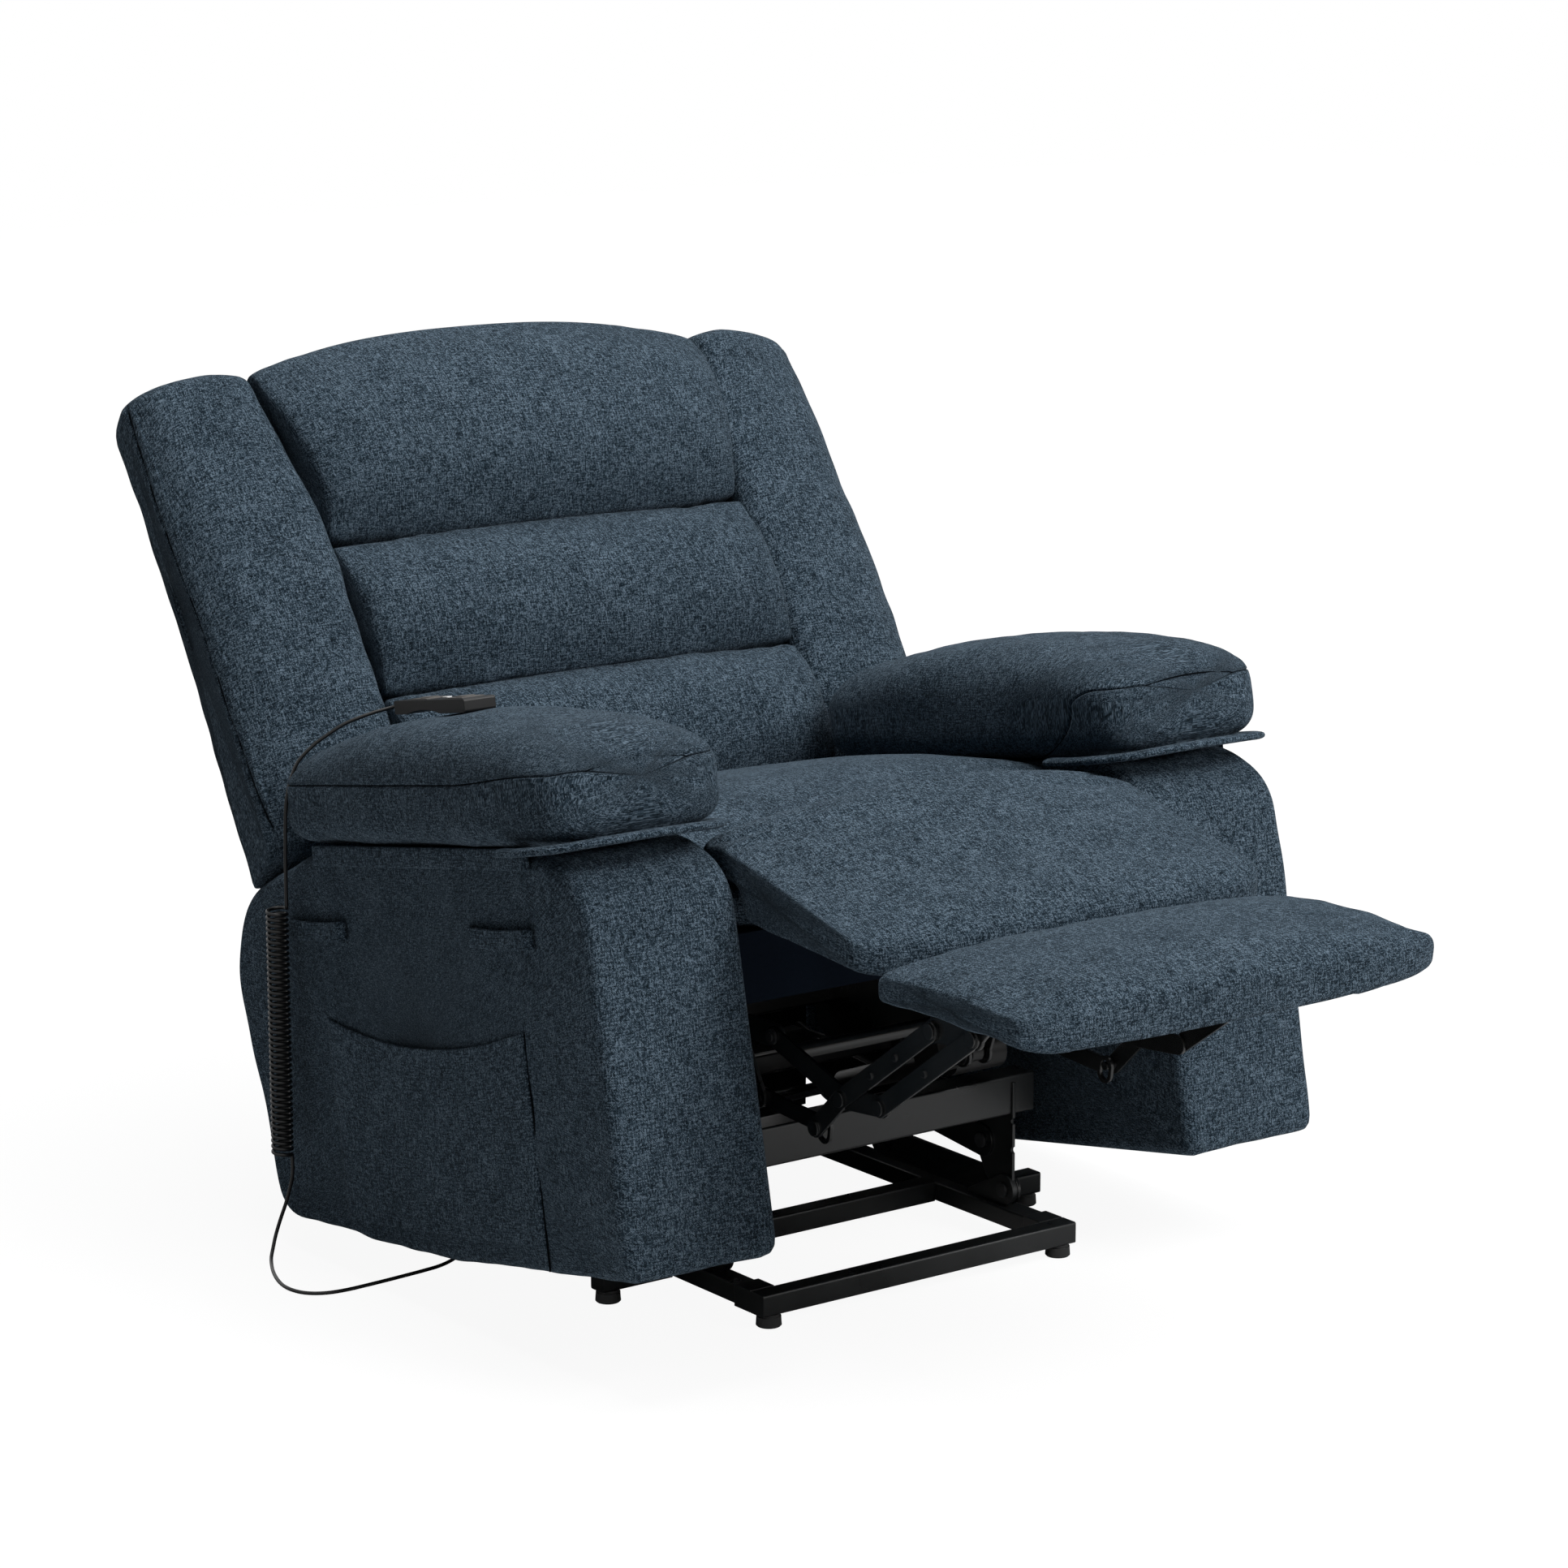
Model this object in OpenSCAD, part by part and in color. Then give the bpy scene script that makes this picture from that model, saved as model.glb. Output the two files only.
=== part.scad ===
// Power lift recliner chair on a steel lift base, shown with the leg rest out.
// Up is +Z and the sitter faces -Y, so the sitter's right hand is on the -X side.
// The origin lies on the floor under the middle of the chair's overall box.
// Upholstery and leg rest are drawn level, and pitched() leans them back about the pitch pivot.

/* [Base frame] */
// Width of the front rail
front_rail_w = 462; // [400:1:520]
// Side of the square floor tube
rail = 26; // [24:1:30]
// Width of a side rail
side_rail_w = 30; // [24:1:32]
// Height of a side rail
side_rail_h = 23; // [20:0.5:23]
// Length of the base from the front face to the rear face
base_len = 600; // [585:1:660]
// Distance from the front face to the mid cross bar
mid_bar_y = 228; // [212:1:300]
// Distance from the front face to the outriggers
outrigger_y = 180; // [120:1:260]
// Reach of an outrigger from the centre plane
outrigger_reach = 326.5; // [280:0.5:360]
// Height of a rubber foot
foot_h = 15; // [10:1:20]
// Diameter of a rubber foot
foot_d = 30; // [24:1:36]

/* [Lift linkage] */
// Inner face of the first layer of link plates
link_x = 207; // [204:0.5:208]
// Thickness of every link plate
plate_t = 4; // [3:0.5:4]
// Radius of every pivot pin
pin_r = 5; // [4:0.5:6]
// Length of the upper lift link between pivots
upper_link_len = 330; // [320:1:336]
// Width of the upper lift link
upper_link_w = 40; // [30:1:40]
// Depth of the front beam from front to rear
beam_d = 38; // [30:1:42]
// Height of the front beam
beam_h = 48; // [40:1:52]
// Overall width of the front beam
beam_w = 492; // [460:1:520]
// Side of the square cross tubes
cross_tube = 24; // [20:1:24]

/* [Seat and arms] */
// Angle at which the body leans back in the shown position
pitch = 10; // [6:1:10]
// Distance between the inner faces of the arms
seat_w = 598; // [580:1:620]
// Thickness of an arm from side to side
arm_w = 201; // [180:1:220]
// Height of the arm top over the floor when level
arm_h = 515; // [500:1:520]
// Height of the arm bottom over the floor when level
arm_clear = 46; // [44:1:60]
// Width of an arm pad
pad_w = 260; // [240:1:270]
// Height of an arm pad above the arm
pad_h = 147; // [110:1:160]
// Length of an arm pad
pad_len = 576; // [520:1:580]
// Depth of the seat box rails
seat_rail_h = 78; // [60:1:80]
// Height of the seat cushion's top when level
seat_top = 522; // [515:1:526]

/* [Leg rest] */
// Angle through which the leg rest folds
fold = 80; // [60:1:80]
// Width of the calf and foot pads
leg_w = 578; // [540:1:584]
// Length of the foot pad
foot_len = 257; // [230:1:270]
// Thickness of the foot pad
foot_t = 56; // [40:1:60]
// Width of a leg rest link
link_w = 22; // [18:1:24]

/* [Back] */
// Lean of the back from upright when the body is level
lean = 24.5; // [20:0.5:28]
// Height of the back above its hinge, along the back
back_h = 800; // [760:1:820]
// Width of the centre back cushions
back_w = 611; // [590:1:620]
// Overall width across the back's wings
wing_span = 1000; // [980:1:1020]
// Height of the lumbar cushion's top above the back hinge
lumbar_top = 343; // [320:1:360]
// Height of the middle cushion's top above the back hinge
middle_top = 549; // [520:1:570]

/* [Handset and cord] */
// Length of the handset
handset_len = 152; // [140:1:160]
// Width of the handset
handset_w = 42; // [38:1:50]
// Height of the handset
handset_h = 16; // [14:1:20]
// Diameter of the handset's cord
cord_d = 4.5; // [4:0.5:6]
// Diameter of the wire in the curly length
curl_wire_d = 4.2; // [3:0.1:5]
// Outside diameter of the curly length
curl_d = 27; // [22:1:30]
// Number of curls
curl_count = 44; // [30:1:50]

/* [Hidden] */
$fn = 48;

// Running fit of a pin in its hole, gap between plates, and play at the opened pivots
run_gap = 0.05;
side_gap = 0.3;
open_gap = 1.5;
washer_r = 12;
washer_t = 2.5;
head_r = 9;
head_t = 3;
tube_wall = 2;

// Pivots are [y, z] pairs, measured from the front face of the base and from the floor
rail_top = foot_h + rail;
side_rail_top = foot_h + (rail + side_rail_h) / 2;
side_rail_bottom = foot_h + (rail - side_rail_h) / 2;
side_rail_x = front_rail_w / 2 - 2 - side_rail_w;
base_pivot_low = [108, side_rail_top + 19.1];
base_pivot_high = base_pivot_low + [42, 52.4];
upper_link_rise = 6.1;
chassis_pivot = base_pivot_high + upper_link_len * [cos(upper_link_rise), sin(upper_link_rise)];
chassis_pivot_low = chassis_pivot + [-122.3, -85.5];
lower_link_w = 2 * (base_pivot_low[1] - side_rail_top - side_gap);
pitch_pivot = [400, 130];
beam_y = 99;
beam_z = 154;

// Chassis tubes clear the upper links, which lie in the layer the tubes cross
chassis_front = [215, 158];
chassis_rear = [524, 158];
rod_eye_pin = base_pivot_high + 153 * [cos(11.8), sin(11.8)];
lift_rear_pin = [base_len - rail - 16, rail_top + 20];
lift_x = -62;

// Seat frame and leg rest pivots, drawn level
seat_box_z = 398 - seat_rail_h;
deck_t = 12;
seat_box_top = 398;
seat_box_front = -85;
seat_box_rear = 442;
seat_rail_w = 23;
box_half = seat_w / 2 - side_gap;
seat_front_tube = [330, 184];
seat_rear_tube = [440, 240];
leg_pivot = [-27, 270];
knee_pivot = [-147, 206];
tip_pivot = [-217, 200];
heel_pivot = [-95, 171];
stay_pivot = [18.9, 198.6];
board_pivot = [-322, 289];
board_pivot_front = board_pivot + tip_pivot - knee_pivot;
drive_offset = 36;
drive_d = 18;
foot_slope = 10;
foot_origin = [-318.5, 329.5];
board_t = 6;
calf_hinge = [-89, 399];
crank_pin = leg_pivot + [-6, -62];
// Slots of the opened pivots: [run, direction, play on each side of the pin]
ear_slot = [24, 195, 3.8];
crank_slot = [17, 82.5, 3.5];
stay_slot = [8.6, 287, 2.2];
recline_rear_pin = [436, 120];
recline_x = 60;

// Back, in its own upright frame [u, v]: u rearwards and v upwards from the back hinge
back_hinge = [500, 330];
frame_front = -30;
frame_t = 22;
cushion_rear = frame_front - side_gap;
hinge_plate_x = box_half - seat_rail_w - side_gap - plate_t;
wing_gap = 2.5;
head_spread = 24;
wing_bottom = 181;

// Arms and pads, drawn level
arm_front = -121;
arm_in = seat_w / 2;
arm_out = arm_in + arm_w;
pad_x = arm_in + arm_w / 2 - 2.5;
pad_rest = arm_h + side_gap;
pad_front = -88;
pad_seam = 72;

// The handset lies along the sitter's right arm pad
handset_x = -pad_x;
handset_y = 294;
handset_z = pad_rest + pad_h + 0.4;
key_travel = 1;
key_size = [30, 34, 4];
key_places = [-46, 30];

// Cord points, by hand: over the pad, straight down into the curls, then along the floor
cord_top_z = 438;
cord_low_z = 122;
coil_x = -532;
coil_y = 548;
cord_over_pad = [
    [-400, 478.3, 665.9], [-400.5, 485, 664.7], [-408, 491, 662], [-430, 497.5, 657], [-458, 508, 647],
    [-481, 518, 632], [-493, 524, 622], [-509, 533, 602], [-518, 538, 573], [-521.5, 540.2, 547],
    [-522.7, 541, 502], [-523, 541.2, 472], [-523, 541.2, 455], [-523, 541.2, 438]
];
cord_under_chair = [
    [-523, 541.2, 122], [-523, 541.2, 108], [-524.5, 544, 92], [-528, 549.5, 70], [-533, 555.5, 48],
    [-538, 558.5, 29], [-543.5, 556.5, 14], [-551, 548, 6], [-561, 530, 2.5], [-573, 505, 2.5],
    [-583, 478, 2.5], [-588, 455, 2.5], [-587, 436, 2.5], [-581, 421, 2.5], [-570, 410.5, 2.5],
    [-555, 404, 2.5], [-535, 401.5, 2.5], [-510, 402, 2.5], [-482, 403.5, 2.5], [-456, 405.5, 2.5],
    [-428, 408, 2.5], [-402, 412, 2.5], [-378, 422, 2.5], [-355, 438, 2.5], [-334, 457, 2.5],
    [-313, 477, 3], [-292, 496, 9], [-272, 510, 24], [-252, 518, 42], [-230, 521, 55],
    [-206, 520, 63], [-184, 510, 69], [-167, 492, 77], [-156, 470, 90], [-151, 453, 108],
    [-150, 444, 128], [-150, 443.1, 144.4], [-150, 445.2, 156.2]
];

row_y = 229;

function turned(p, a) = [p[0] * cos(a) - p[1] * sin(a), p[1] * cos(a) + p[0] * sin(a)];
function layer(k) = link_x + k * (plate_t + side_gap);
function flat(rows) = [for (row = rows) each row];
function wrap(list, i) = list[(i + len(list)) % len(list)];

// Rounded outline from corners [y, z, radius], with n steps round each corner
function corner(a, p, b, reach, n) =
    let (
        r = min(reach, 0.48 * norm(a - p), 0.48 * norm(b - p)),
        s = p + (a - p) / norm(a - p) * r, e = p + (b - p) / norm(b - p) * r
    )
    [for (i = [0:n]) let (t = i / n) (1 - t) * (1 - t) * s + 2 * t * (1 - t) * p + t * t * e];
function spot(c) = [c[0], c[1]];
function outline(corners, n) = flat([
    for (i = [0:len(corners) - 1])
        corner(spot(wrap(corners, i - 1)), spot(corners[i]), spot(wrap(corners, i + 1)), corners[i][2], n)
]);

// Outline moved outwards by d along its own normals; the outline runs anticlockwise.
// Drawing in shrinks it about the middle of its box, so that no corner folds over.
function axis_min(q, k) = min([for (p = q) p[k]]);
function axis_max(q, k) = max([for (p = q) p[k]]);
function drawn_in(q, d) =
    let (
        y0 = axis_min(q, 0), y1 = axis_max(q, 0), z0 = axis_min(q, 1), z1 = axis_max(q, 1),
        c = [(y0 + y1) / 2, (z0 + z1) / 2], f = [1 - 2 * d / (y1 - y0), 1 - 2 * d / (z1 - z0)]
    )
    [for (p = q) [c[0] + (p[0] - c[0]) * f[0], c[1] + (p[1] - c[1]) * f[1]]];
function swollen(q, d) = d < 0 ? drawn_in(q, -d) : [
    for (i = [0:len(q) - 1])
        let (along = wrap(q, i + 1) - wrap(q, i - 1), out = [along[1], -along[0]] / norm(along))
        q[i] + out * d
];

// Stations [x, swell] across a cushion: drawn in at both sides and crowned between them
function stations(half, edge, crown) = [
    [-half, -edge], [-half + 0.4 * edge, -0.36 * edge], [-half * 0.7, crown * 0.55], [0, crown],
    [half * 0.7, crown * 0.55], [half - 0.4 * edge, -0.36 * edge], [half, -edge]
];

module row() translate([0, -row_y, 0]) children();
module pitched()
    translate([0, pitch_pivot[0], pitch_pivot[1]]) rotate([-pitch, 0, 0])
        translate([0, -pitch_pivot[0], -pitch_pivot[1]]) children();
module leaning()
    row() pitched() translate([0, back_hinge[0], back_hinge[1]]) rotate([-lean, 0, 0]) children();
module both_sides() {
    children();
    mirror([1, 0, 0]) children();
}
module left_side() children();
module right_side() mirror([1, 0, 0]) children();

// A [y, z] outline drawn out across the chair, and an [x, z] outline drawn out along it
module across(x0, x1) translate([x0, 0, 0]) rotate([90, 0, 90]) linear_extrude(x1 - x0) children();
module along(y0, y1) translate([0, y1, 0]) rotate([90, 0, 0]) linear_extrude(y1 - y0) children();
module pin(p, x0, x1, r) translate([x0, p[0], p[1]]) rotate([0, 90, 0]) cylinder(r = r, h = x1 - x0);

module soft_square(w, h, r) {
    translate([r, 0]) square([w - 2 * r, h]);
    translate([0, r]) square([w, h - 2 * r]);
    for (x = [r, w - r], y = [r, h - r]) translate([x, y]) circle(r = r);
}
// A bar with round ends; its straight edges lie a hair inside the rounds
module bar_outline(a, b, w) {
    translate(a) circle(d = w);
    translate(b) circle(d = w);
    translate(a) rotate(atan2(b[1] - a[1], b[0] - a[0])) translate([0, run_gap - w / 2])
        square([norm(b - a), w - 2 * run_gap]);
}
module pin_holes(places, r) for (p = places) translate(p) circle(r = r);
// An opened pivot's slot: its pin drifts off along the run during the travel, and back by its end
function slot_end(p, slot) = p + slot[0] * [cos(slot[1]), sin(slot[1])];
module slot_outline(p, slot, wall) bar_outline(p, slot_end(p, slot), 2 * (pin_r + slot[2] + wall));
module link_plate(k, points, w, holes)
    across(layer(k), layer(k) + plate_t) difference() {
        for (i = [0:len(points) - 2]) bar_outline(points[i], points[i + 1], w);
        pin_holes(holes, pin_r + run_gap);
    }

// A bolt from plate layer k0 to k1, with its head inside and its nut outside
module bolt(p, k0, k1) {
    x0 = layer(k0) - side_gap;
    x1 = layer(k1) + plate_t + side_gap;
    pin(p, x0 - head_t, x0, head_r);
    pin(p, x0 - head_t, x1 + head_t + 2, pin_r);
    pin(p, x1, x1 + head_t, head_r);
}
module square_tube(x0, x1, centre, size)
    across(x0, x1) translate(centre) difference() {
        translate([-size / 2, -size / 2]) soft_square(size, size, 3);
        translate([-size / 2 + tube_wall, -size / 2 + tube_wall])
            soft_square(size - 2 * tube_wall, size - 2 * tube_wall, 1.5);
    }

// Closed skin through rings of equal length, with a fan over the first and last ring
module skin(rings) {
    n = len(rings[0]);
    m = len(rings);
    function middle(ring) = [for (k = [0:2]) [for (p = ring) p[k]] * [for (p = ring) 1] / n];
    points = concat(flat(rings), [middle(rings[0]), middle(rings[m - 1])]);
    walls = [
        for (j = [0:m - 2], i = [0:n - 1])
            let (a = j * n + i, b = j * n + (i + 1) % n)
            each [[a, a + n, b], [b, a + n, b + n]]
    ];
    first = [for (i = [0:n - 1]) [m * n, i, (i + 1) % n]];
    last = [for (i = [0:n - 1]) [m * n + 1, (m - 1) * n + (i + 1) % n, (m - 1) * n + i]];
    polyhedron(concat(points), concat(walls, first, last), convexity = 6);
}
// A cushion: its side outline carried across the chair and swollen at each station.
// The swelling is held inside a box, so that it stays off the board or rail it rests on.
// Above arch_from it may rise to an arch and spread sideways as it goes up.
function held(q, box) = [max(box[0][0], min(box[1][0], q[0])), max(box[0][1], min(box[1][1], q[1]))];
arch_from = 600;
function rise(v) = max(0, min(1, (v - arch_from) / 150));
module cushion(side, places, hold, arch = 0, spread = 0)
    skin([
        for (s = places)
            let (share = s[0] / places[len(places) - 1][0], lift = arch * (1 - pow(abs(share), 2.6)))
            [
                for (p = swollen(side, s[1])) let (q = held(p, hold))
                    [s[0] + spread * share * rise(q[1]), q[0], q[1] + lift * rise(q[1])]
            ]
    ]);

module front_rail() color("#1b1e1f") row() {
    across(-front_rail_w / 2, front_rail_w / 2) translate([0, foot_h]) soft_square(rail, rail, 2.5);
    both_sides() along(rail, rail + 30) difference() {
        translate([side_rail_x - 2, foot_h]) square([side_rail_w + 4, rail]);
        translate([side_rail_x - run_gap, side_rail_bottom - run_gap])
            square([side_rail_w + 2 * run_gap, side_rail_h + 2 * run_gap]);
    }
}
module side_rail() color("#1b1e1f") row()
    along(rail, base_len - rail) translate([side_rail_x, side_rail_bottom])
        soft_square(side_rail_w, side_rail_h, 2);
module side_rail_left() left_side() side_rail();
module side_rail_right() right_side() side_rail();
module mid_cross_bar() color("#1b1e1f") row()
    across(-side_rail_x, side_rail_x) translate([mid_bar_y, foot_h]) soft_square(rail, rail, 2.5);
module rear_cross_bar() color("#1b1e1f") row() {
    across(-front_rail_w / 2, front_rail_w / 2) translate([base_len - rail, foot_h])
        soft_square(rail, rail, 2.5);
    for (side = [-1, 1])
        across(lift_x + side * 15 - 2, lift_x + side * 15 + 2)
            bar_outline(lift_rear_pin, [base_len - rail / 2, rail_top - 6], 24);
    pin(lift_rear_pin, lift_x - 19, lift_x + 19, pin_r);
}
module outriggers() color("#1b1e1f") row() both_sides()
    across(side_rail_x + side_rail_w, outrigger_reach) translate([outrigger_y, foot_h])
        soft_square(rail, rail, 2.5);
module rubber_feet() color("#141516") row() both_sides()
    for (p = [
        [side_rail_x + side_rail_w / 2, rail / 2], [side_rail_x + side_rail_w / 2, base_len - rail / 2],
        [outrigger_reach - foot_d / 2, outrigger_y + rail / 2]
    ])
        translate([p[0], p[1], 0]) rotate_extrude()
            polygon([[0, 0], [foot_d / 2 - 1.5, 0], [foot_d / 2, 1.5], [foot_d / 2 - 0.7, foot_h - 3],
                [foot_d / 2 - 2.5, foot_h - 3], [foot_d / 2 - 2.5, foot_h], [0, foot_h]]);

// Notched upright: carries both lift pivots and takes the front beam in a slot
module upright() color("#202325") row() across(layer(1), layer(1) + plate_t) difference() {
    union() {
        translate(base_pivot_low) circle(r = 18);
        translate(base_pivot_high) circle(r = 20);
        polygon([
            [beam_y - 3, side_rail_top + 8], [beam_y - 3, beam_z + beam_h - 8],
            [beam_y + beam_d + 26, beam_z + beam_h - 8], base_pivot_high + [20, 0],
            base_pivot_low + [38, 10], base_pivot_low + [14, -11]
        ]);
    }
    translate([beam_y - 0.1, beam_z - 0.1]) square([beam_d + 0.2, beam_h]);
    pin_holes([base_pivot_low, base_pivot_high], pin_r + run_gap);
    for (z = [beam_z - 44, beam_z - 8]) translate([beam_y - 4, z]) circle(r = 4);
}
module upright_left() left_side() upright();
module upright_right() right_side() upright();
module base_lugs() color("#202325") row() both_sides() across(layer(0), layer(0) + plate_t) difference() {
    union() {
        translate(base_pivot_low) circle(r = base_pivot_low[1] - side_rail_top);
        polygon([
            [base_pivot_low[0], side_rail_top], [base_pivot_low[0] + 66, side_rail_top],
            [base_pivot_low[0] + 66, side_rail_top + 6], base_pivot_low + [10, 16], base_pivot_low
        ]);
    }
    pin_holes([base_pivot_low], pin_r + run_gap);
}
module front_beam() color("#232627") row()
    across(-beam_w / 2, beam_w / 2) translate([beam_y, beam_z]) difference() {
        soft_square(beam_d, beam_h, 3);
        translate([tube_wall, tube_wall]) soft_square(beam_d - 2 * tube_wall, beam_h - 2 * tube_wall, 1.5);
    }
// The upper pins end flush outside, because the lower links swing past them there
module base_bolts() color("#303436") row() both_sides() {
    bolt(base_pivot_low, 0, 2);
    pin(base_pivot_high, layer(0) - side_gap - head_t, layer(0) - side_gap, head_r);
    pin(base_pivot_high, layer(0) - side_gap - head_t, layer(1) + plate_t, pin_r);
}

module upper_links() color("#1f2224") row() both_sides()
    link_plate(0, [base_pivot_high, chassis_pivot], upper_link_w, [base_pivot_high, chassis_pivot]);
// Torque tube between the upper links, with two slotted ears for the pin of the lift rod
link_tube_centre = base_pivot_high + 100 * [cos(upper_link_rise), sin(upper_link_rise)];
module link_tube() color("#1f2224") row() {
    pin(link_tube_centre, -link_x, link_x, 11);
    for (side = [-1, 1])
        across(lift_x + side * 11 - 2, lift_x + side * 11 + 2) difference() {
            bar_outline(link_tube_centre, rod_eye_pin, 34);
            slot_outline(rod_eye_pin, ear_slot, 0);
        }
}
module lower_links() color("#1f2224") row() both_sides() {
    link_plate(2, [base_pivot_low, chassis_pivot_low], lower_link_w, [base_pivot_low]);
    pin(chassis_pivot_low, layer(1) + side_gap, layer(3), pin_r);
    pin(chassis_pivot_low, layer(2) + plate_t, layer(3) + 3, head_r);
}
module chassis_plate() color("#202325") row() across(layer(1), layer(1) + plate_t) difference() {
    union() {
        bar_outline(chassis_front, chassis_rear, 26);
        bar_outline(chassis_pivot, chassis_rear, 36);
        translate(pitch_pivot) circle(r = 18);
        translate(chassis_pivot_low) circle(r = 17);
        polygon([
            chassis_pivot_low + [-17, 0], chassis_pivot_low + [-26, 96], [455, 160],
            chassis_pivot_low + [60, 62], chassis_pivot_low + [17, 0]
        ]);
    }
    pin_holes([chassis_pivot, pitch_pivot], pin_r + run_gap);
    pin_holes([chassis_pivot_low], pin_r + open_gap);
}
module chassis_plate_left() left_side() chassis_plate();
module chassis_plate_right() right_side() chassis_plate();
module chassis_cross_tubes() color("#202325") row() {
    square_tube(-layer(1), layer(1), chassis_front, cross_tube);
    square_tube(-layer(1), layer(1), chassis_rear, cross_tube);
}
// The pitch pins end flush inside, because the upper links pass there
module chassis_bolts() color("#303436") row() both_sides() {
    bolt(chassis_pivot, 0, 1);
    pin(pitch_pivot, layer(1), layer(3) + 1, pin_r);
    pin(pitch_pivot, layer(3), layer(3) + head_t, head_r);
}

// Action plate: an inner plate for the leg rest pivots and an outer one for the pitch pivot
module action_plate() color("#202325") row() pitched() {
    across(layer(0), layer(0) + plate_t) difference() {
        union() {
            bar_outline(leg_pivot, [60, 285], 28);
            bar_outline([50, 285], stay_pivot, 24);
            polygon([
                [40, 272], [70, 216], [152, 212], [168, 200], [294, 196], [306, 163], [354, 163], [364, 181],
                [452, 181], [466, 200], [466, seat_box_z], [46, seat_box_z], [40, 300]
            ]);
        }
        pin_holes([leg_pivot, stay_pivot], pin_r + run_gap);
        tube_windows();
        for (y = [230, 310]) translate([y, 255]) circle(r = 22);
    }
    across(layer(2), layer(2) + plate_t) difference() {
        union() {
            bar_outline(pitch_pivot, [400, 240], 34);
            polygon([
                [168, 200], [294, 196], [306, 163], [384, 163], [384, 150], [416, 150], [430, 200], [466, 215],
                [466, seat_box_z], [168, seat_box_z]
            ]);
        }
        pin_holes([pitch_pivot], pin_r + run_gap);
        for (y = [230, 310]) translate([y, 255]) circle(r = 22);
    }
}
module tube_windows()
    for (p = [seat_front_tube, seat_rear_tube])
        translate(p - [cross_tube / 2, cross_tube / 2] - [0.1, 0.1]) square(cross_tube + 0.2);
module action_plate_left() left_side() action_plate();
module action_plate_right() right_side() action_plate();
module seat_cross_tubes() color("#232627") row() pitched() {
    for (p = [seat_front_tube, seat_rear_tube]) square_tube(-layer(2), layer(2), p, cross_tube);
    for (side = [-1, 1])
        across(recline_x + side * 11 - 2, recline_x + side * 11 + 2) difference() {
            bar_outline(recline_rear_pin, seat_rear_tube, 22);
            translate(seat_rear_tube - [cross_tube / 2, cross_tube / 2]) square(cross_tube);
        }
    pin(recline_rear_pin, recline_x - 13, recline_x + 13, pin_r);
}
module seat_bolts() color("#303436") row() pitched() both_sides() {
    bolt(leg_pivot, 0, 1);
    pin(stay_pivot, layer(-1) - side_gap - head_t, layer(-1) - side_gap, head_r);
    pin(stay_pivot, layer(-1) - side_gap - head_t, layer(1), pin_r);
}
module seat_box() color("#141c28") row() pitched() {
    difference() {
        translate([-box_half, seat_box_front, seat_box_z])
            cube([2 * box_half, seat_box_rear - seat_box_front, seat_rail_h]);
        translate([-box_half + seat_rail_w, seat_box_front + 22, seat_box_z - 1])
            cube([2 * (box_half - seat_rail_w), seat_box_rear - seat_box_front - 44, seat_rail_h - deck_t + 1]);
    }
    both_sides() across(box_half - seat_rail_w, box_half) difference() {
        union() {
            translate([seat_box_rear, seat_box_z]) square([60, seat_rail_h]);
            translate(back_hinge) circle(r = 20);
        }
        pin_holes([back_hinge], pin_r + run_gap);
    }
}

module seat_cushion() color("#2f3d49") row() pitched()
    cushion(outline([
        [-78, 398.3, 6], [478, 398.3, 12], [494, seat_top - 19, 14], [420, seat_top - 4, 60],
        [150, seat_top - 4, 60], [9, seat_top - 23, 16], [-76, 440, 22]
    ], 2), stations(arm_in - 1, 22, 5), [[-84, seat_box_top + side_gap], [500, 600]]);
// The arm's side outline: upright front, soft shoulder and a rear that slopes down for the back
function arm_outline() = outline([
    [arm_front, arm_clear, 14], [352, arm_clear, 60], [458, arm_clear + 12, 50], [620, arm_clear + 27, 30],
    [652, 245, 60], [668, 400, 36], [624, 461, 36], [452, arm_h, 40], [-30, arm_h, 40],
    [arm_front + 13, arm_h - 42, 50]
], 2);
module arm() color("#2f3d49") row() pitched() {
    skin([
        for (s = [
            [arm_in, -14], [arm_in + 5, -5], [arm_in + 16, 0], [arm_out - 16, 0], [arm_out - 5, -5],
            [arm_out, -14]
        ])
            [for (q = swollen(arm_outline(), s[1])) [s[0], q[0], q[1]]]
    ]);
}
module arm_left() left_side() arm();
module arm_right() right_side() arm();

// Pad stations from nose to rear: [share of length, share of width, underside, seam, crown]
pad_stations = [
    [0, 0.64, 27, 58, 84], [0.02, 0.83, 12, 64, 103], [0.06, 0.93, 4, 69, 117], [0.14, 0.98, 0, 72, 130],
    [0.3, 1, 0, 72, 142], [0.5, 1, 0, 72, 147], [0.68, 0.99, 0, 72, 143], [0.83, 0.96, 2, 71, 130],
    [0.93, 0.9, 8, 69, 113], [0.98, 0.79, 17, 65, 95], [1, 0.6, 29, 60, 78]
];
// Pad section at one station: flat underneath, soft lip at the seam and a high crown
function pad_ring(row) =
    let (half = pad_w / 2 * row[1], k = pad_h / 147, low = row[2] * k, seam = row[3] * k, high = row[4] * k)
    [
        for (i = [0:13])
            let (c = cos(360 * (i + 0.5) / 14), s = sin(360 * (i + 0.5) / 14))
            [
                pad_x + half * sign(c) * pow(abs(c), 0.62), pad_front + pad_len * row[0],
                pad_rest + seam + (s > 0 ? (high - seam) * pow(s, 0.85) : -(seam - low) * pow(-s, 0.55))
            ]
    ];
module arm_pad() color("#33424e") row() pitched()
    skin([for (k = [len(pad_stations) - 1:-1:0]) pad_ring(pad_stations[k])]);
module arm_pad_left() left_side() arm_pad();
module arm_pad_right() right_side() arm_pad();
module pad_skirts() color("#2b3843") row() pitched() both_sides()
    across(arm_out + 0.2, arm_out + 3.2) translate([-14, arm_h - 17]) square([460, 19]);

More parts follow.
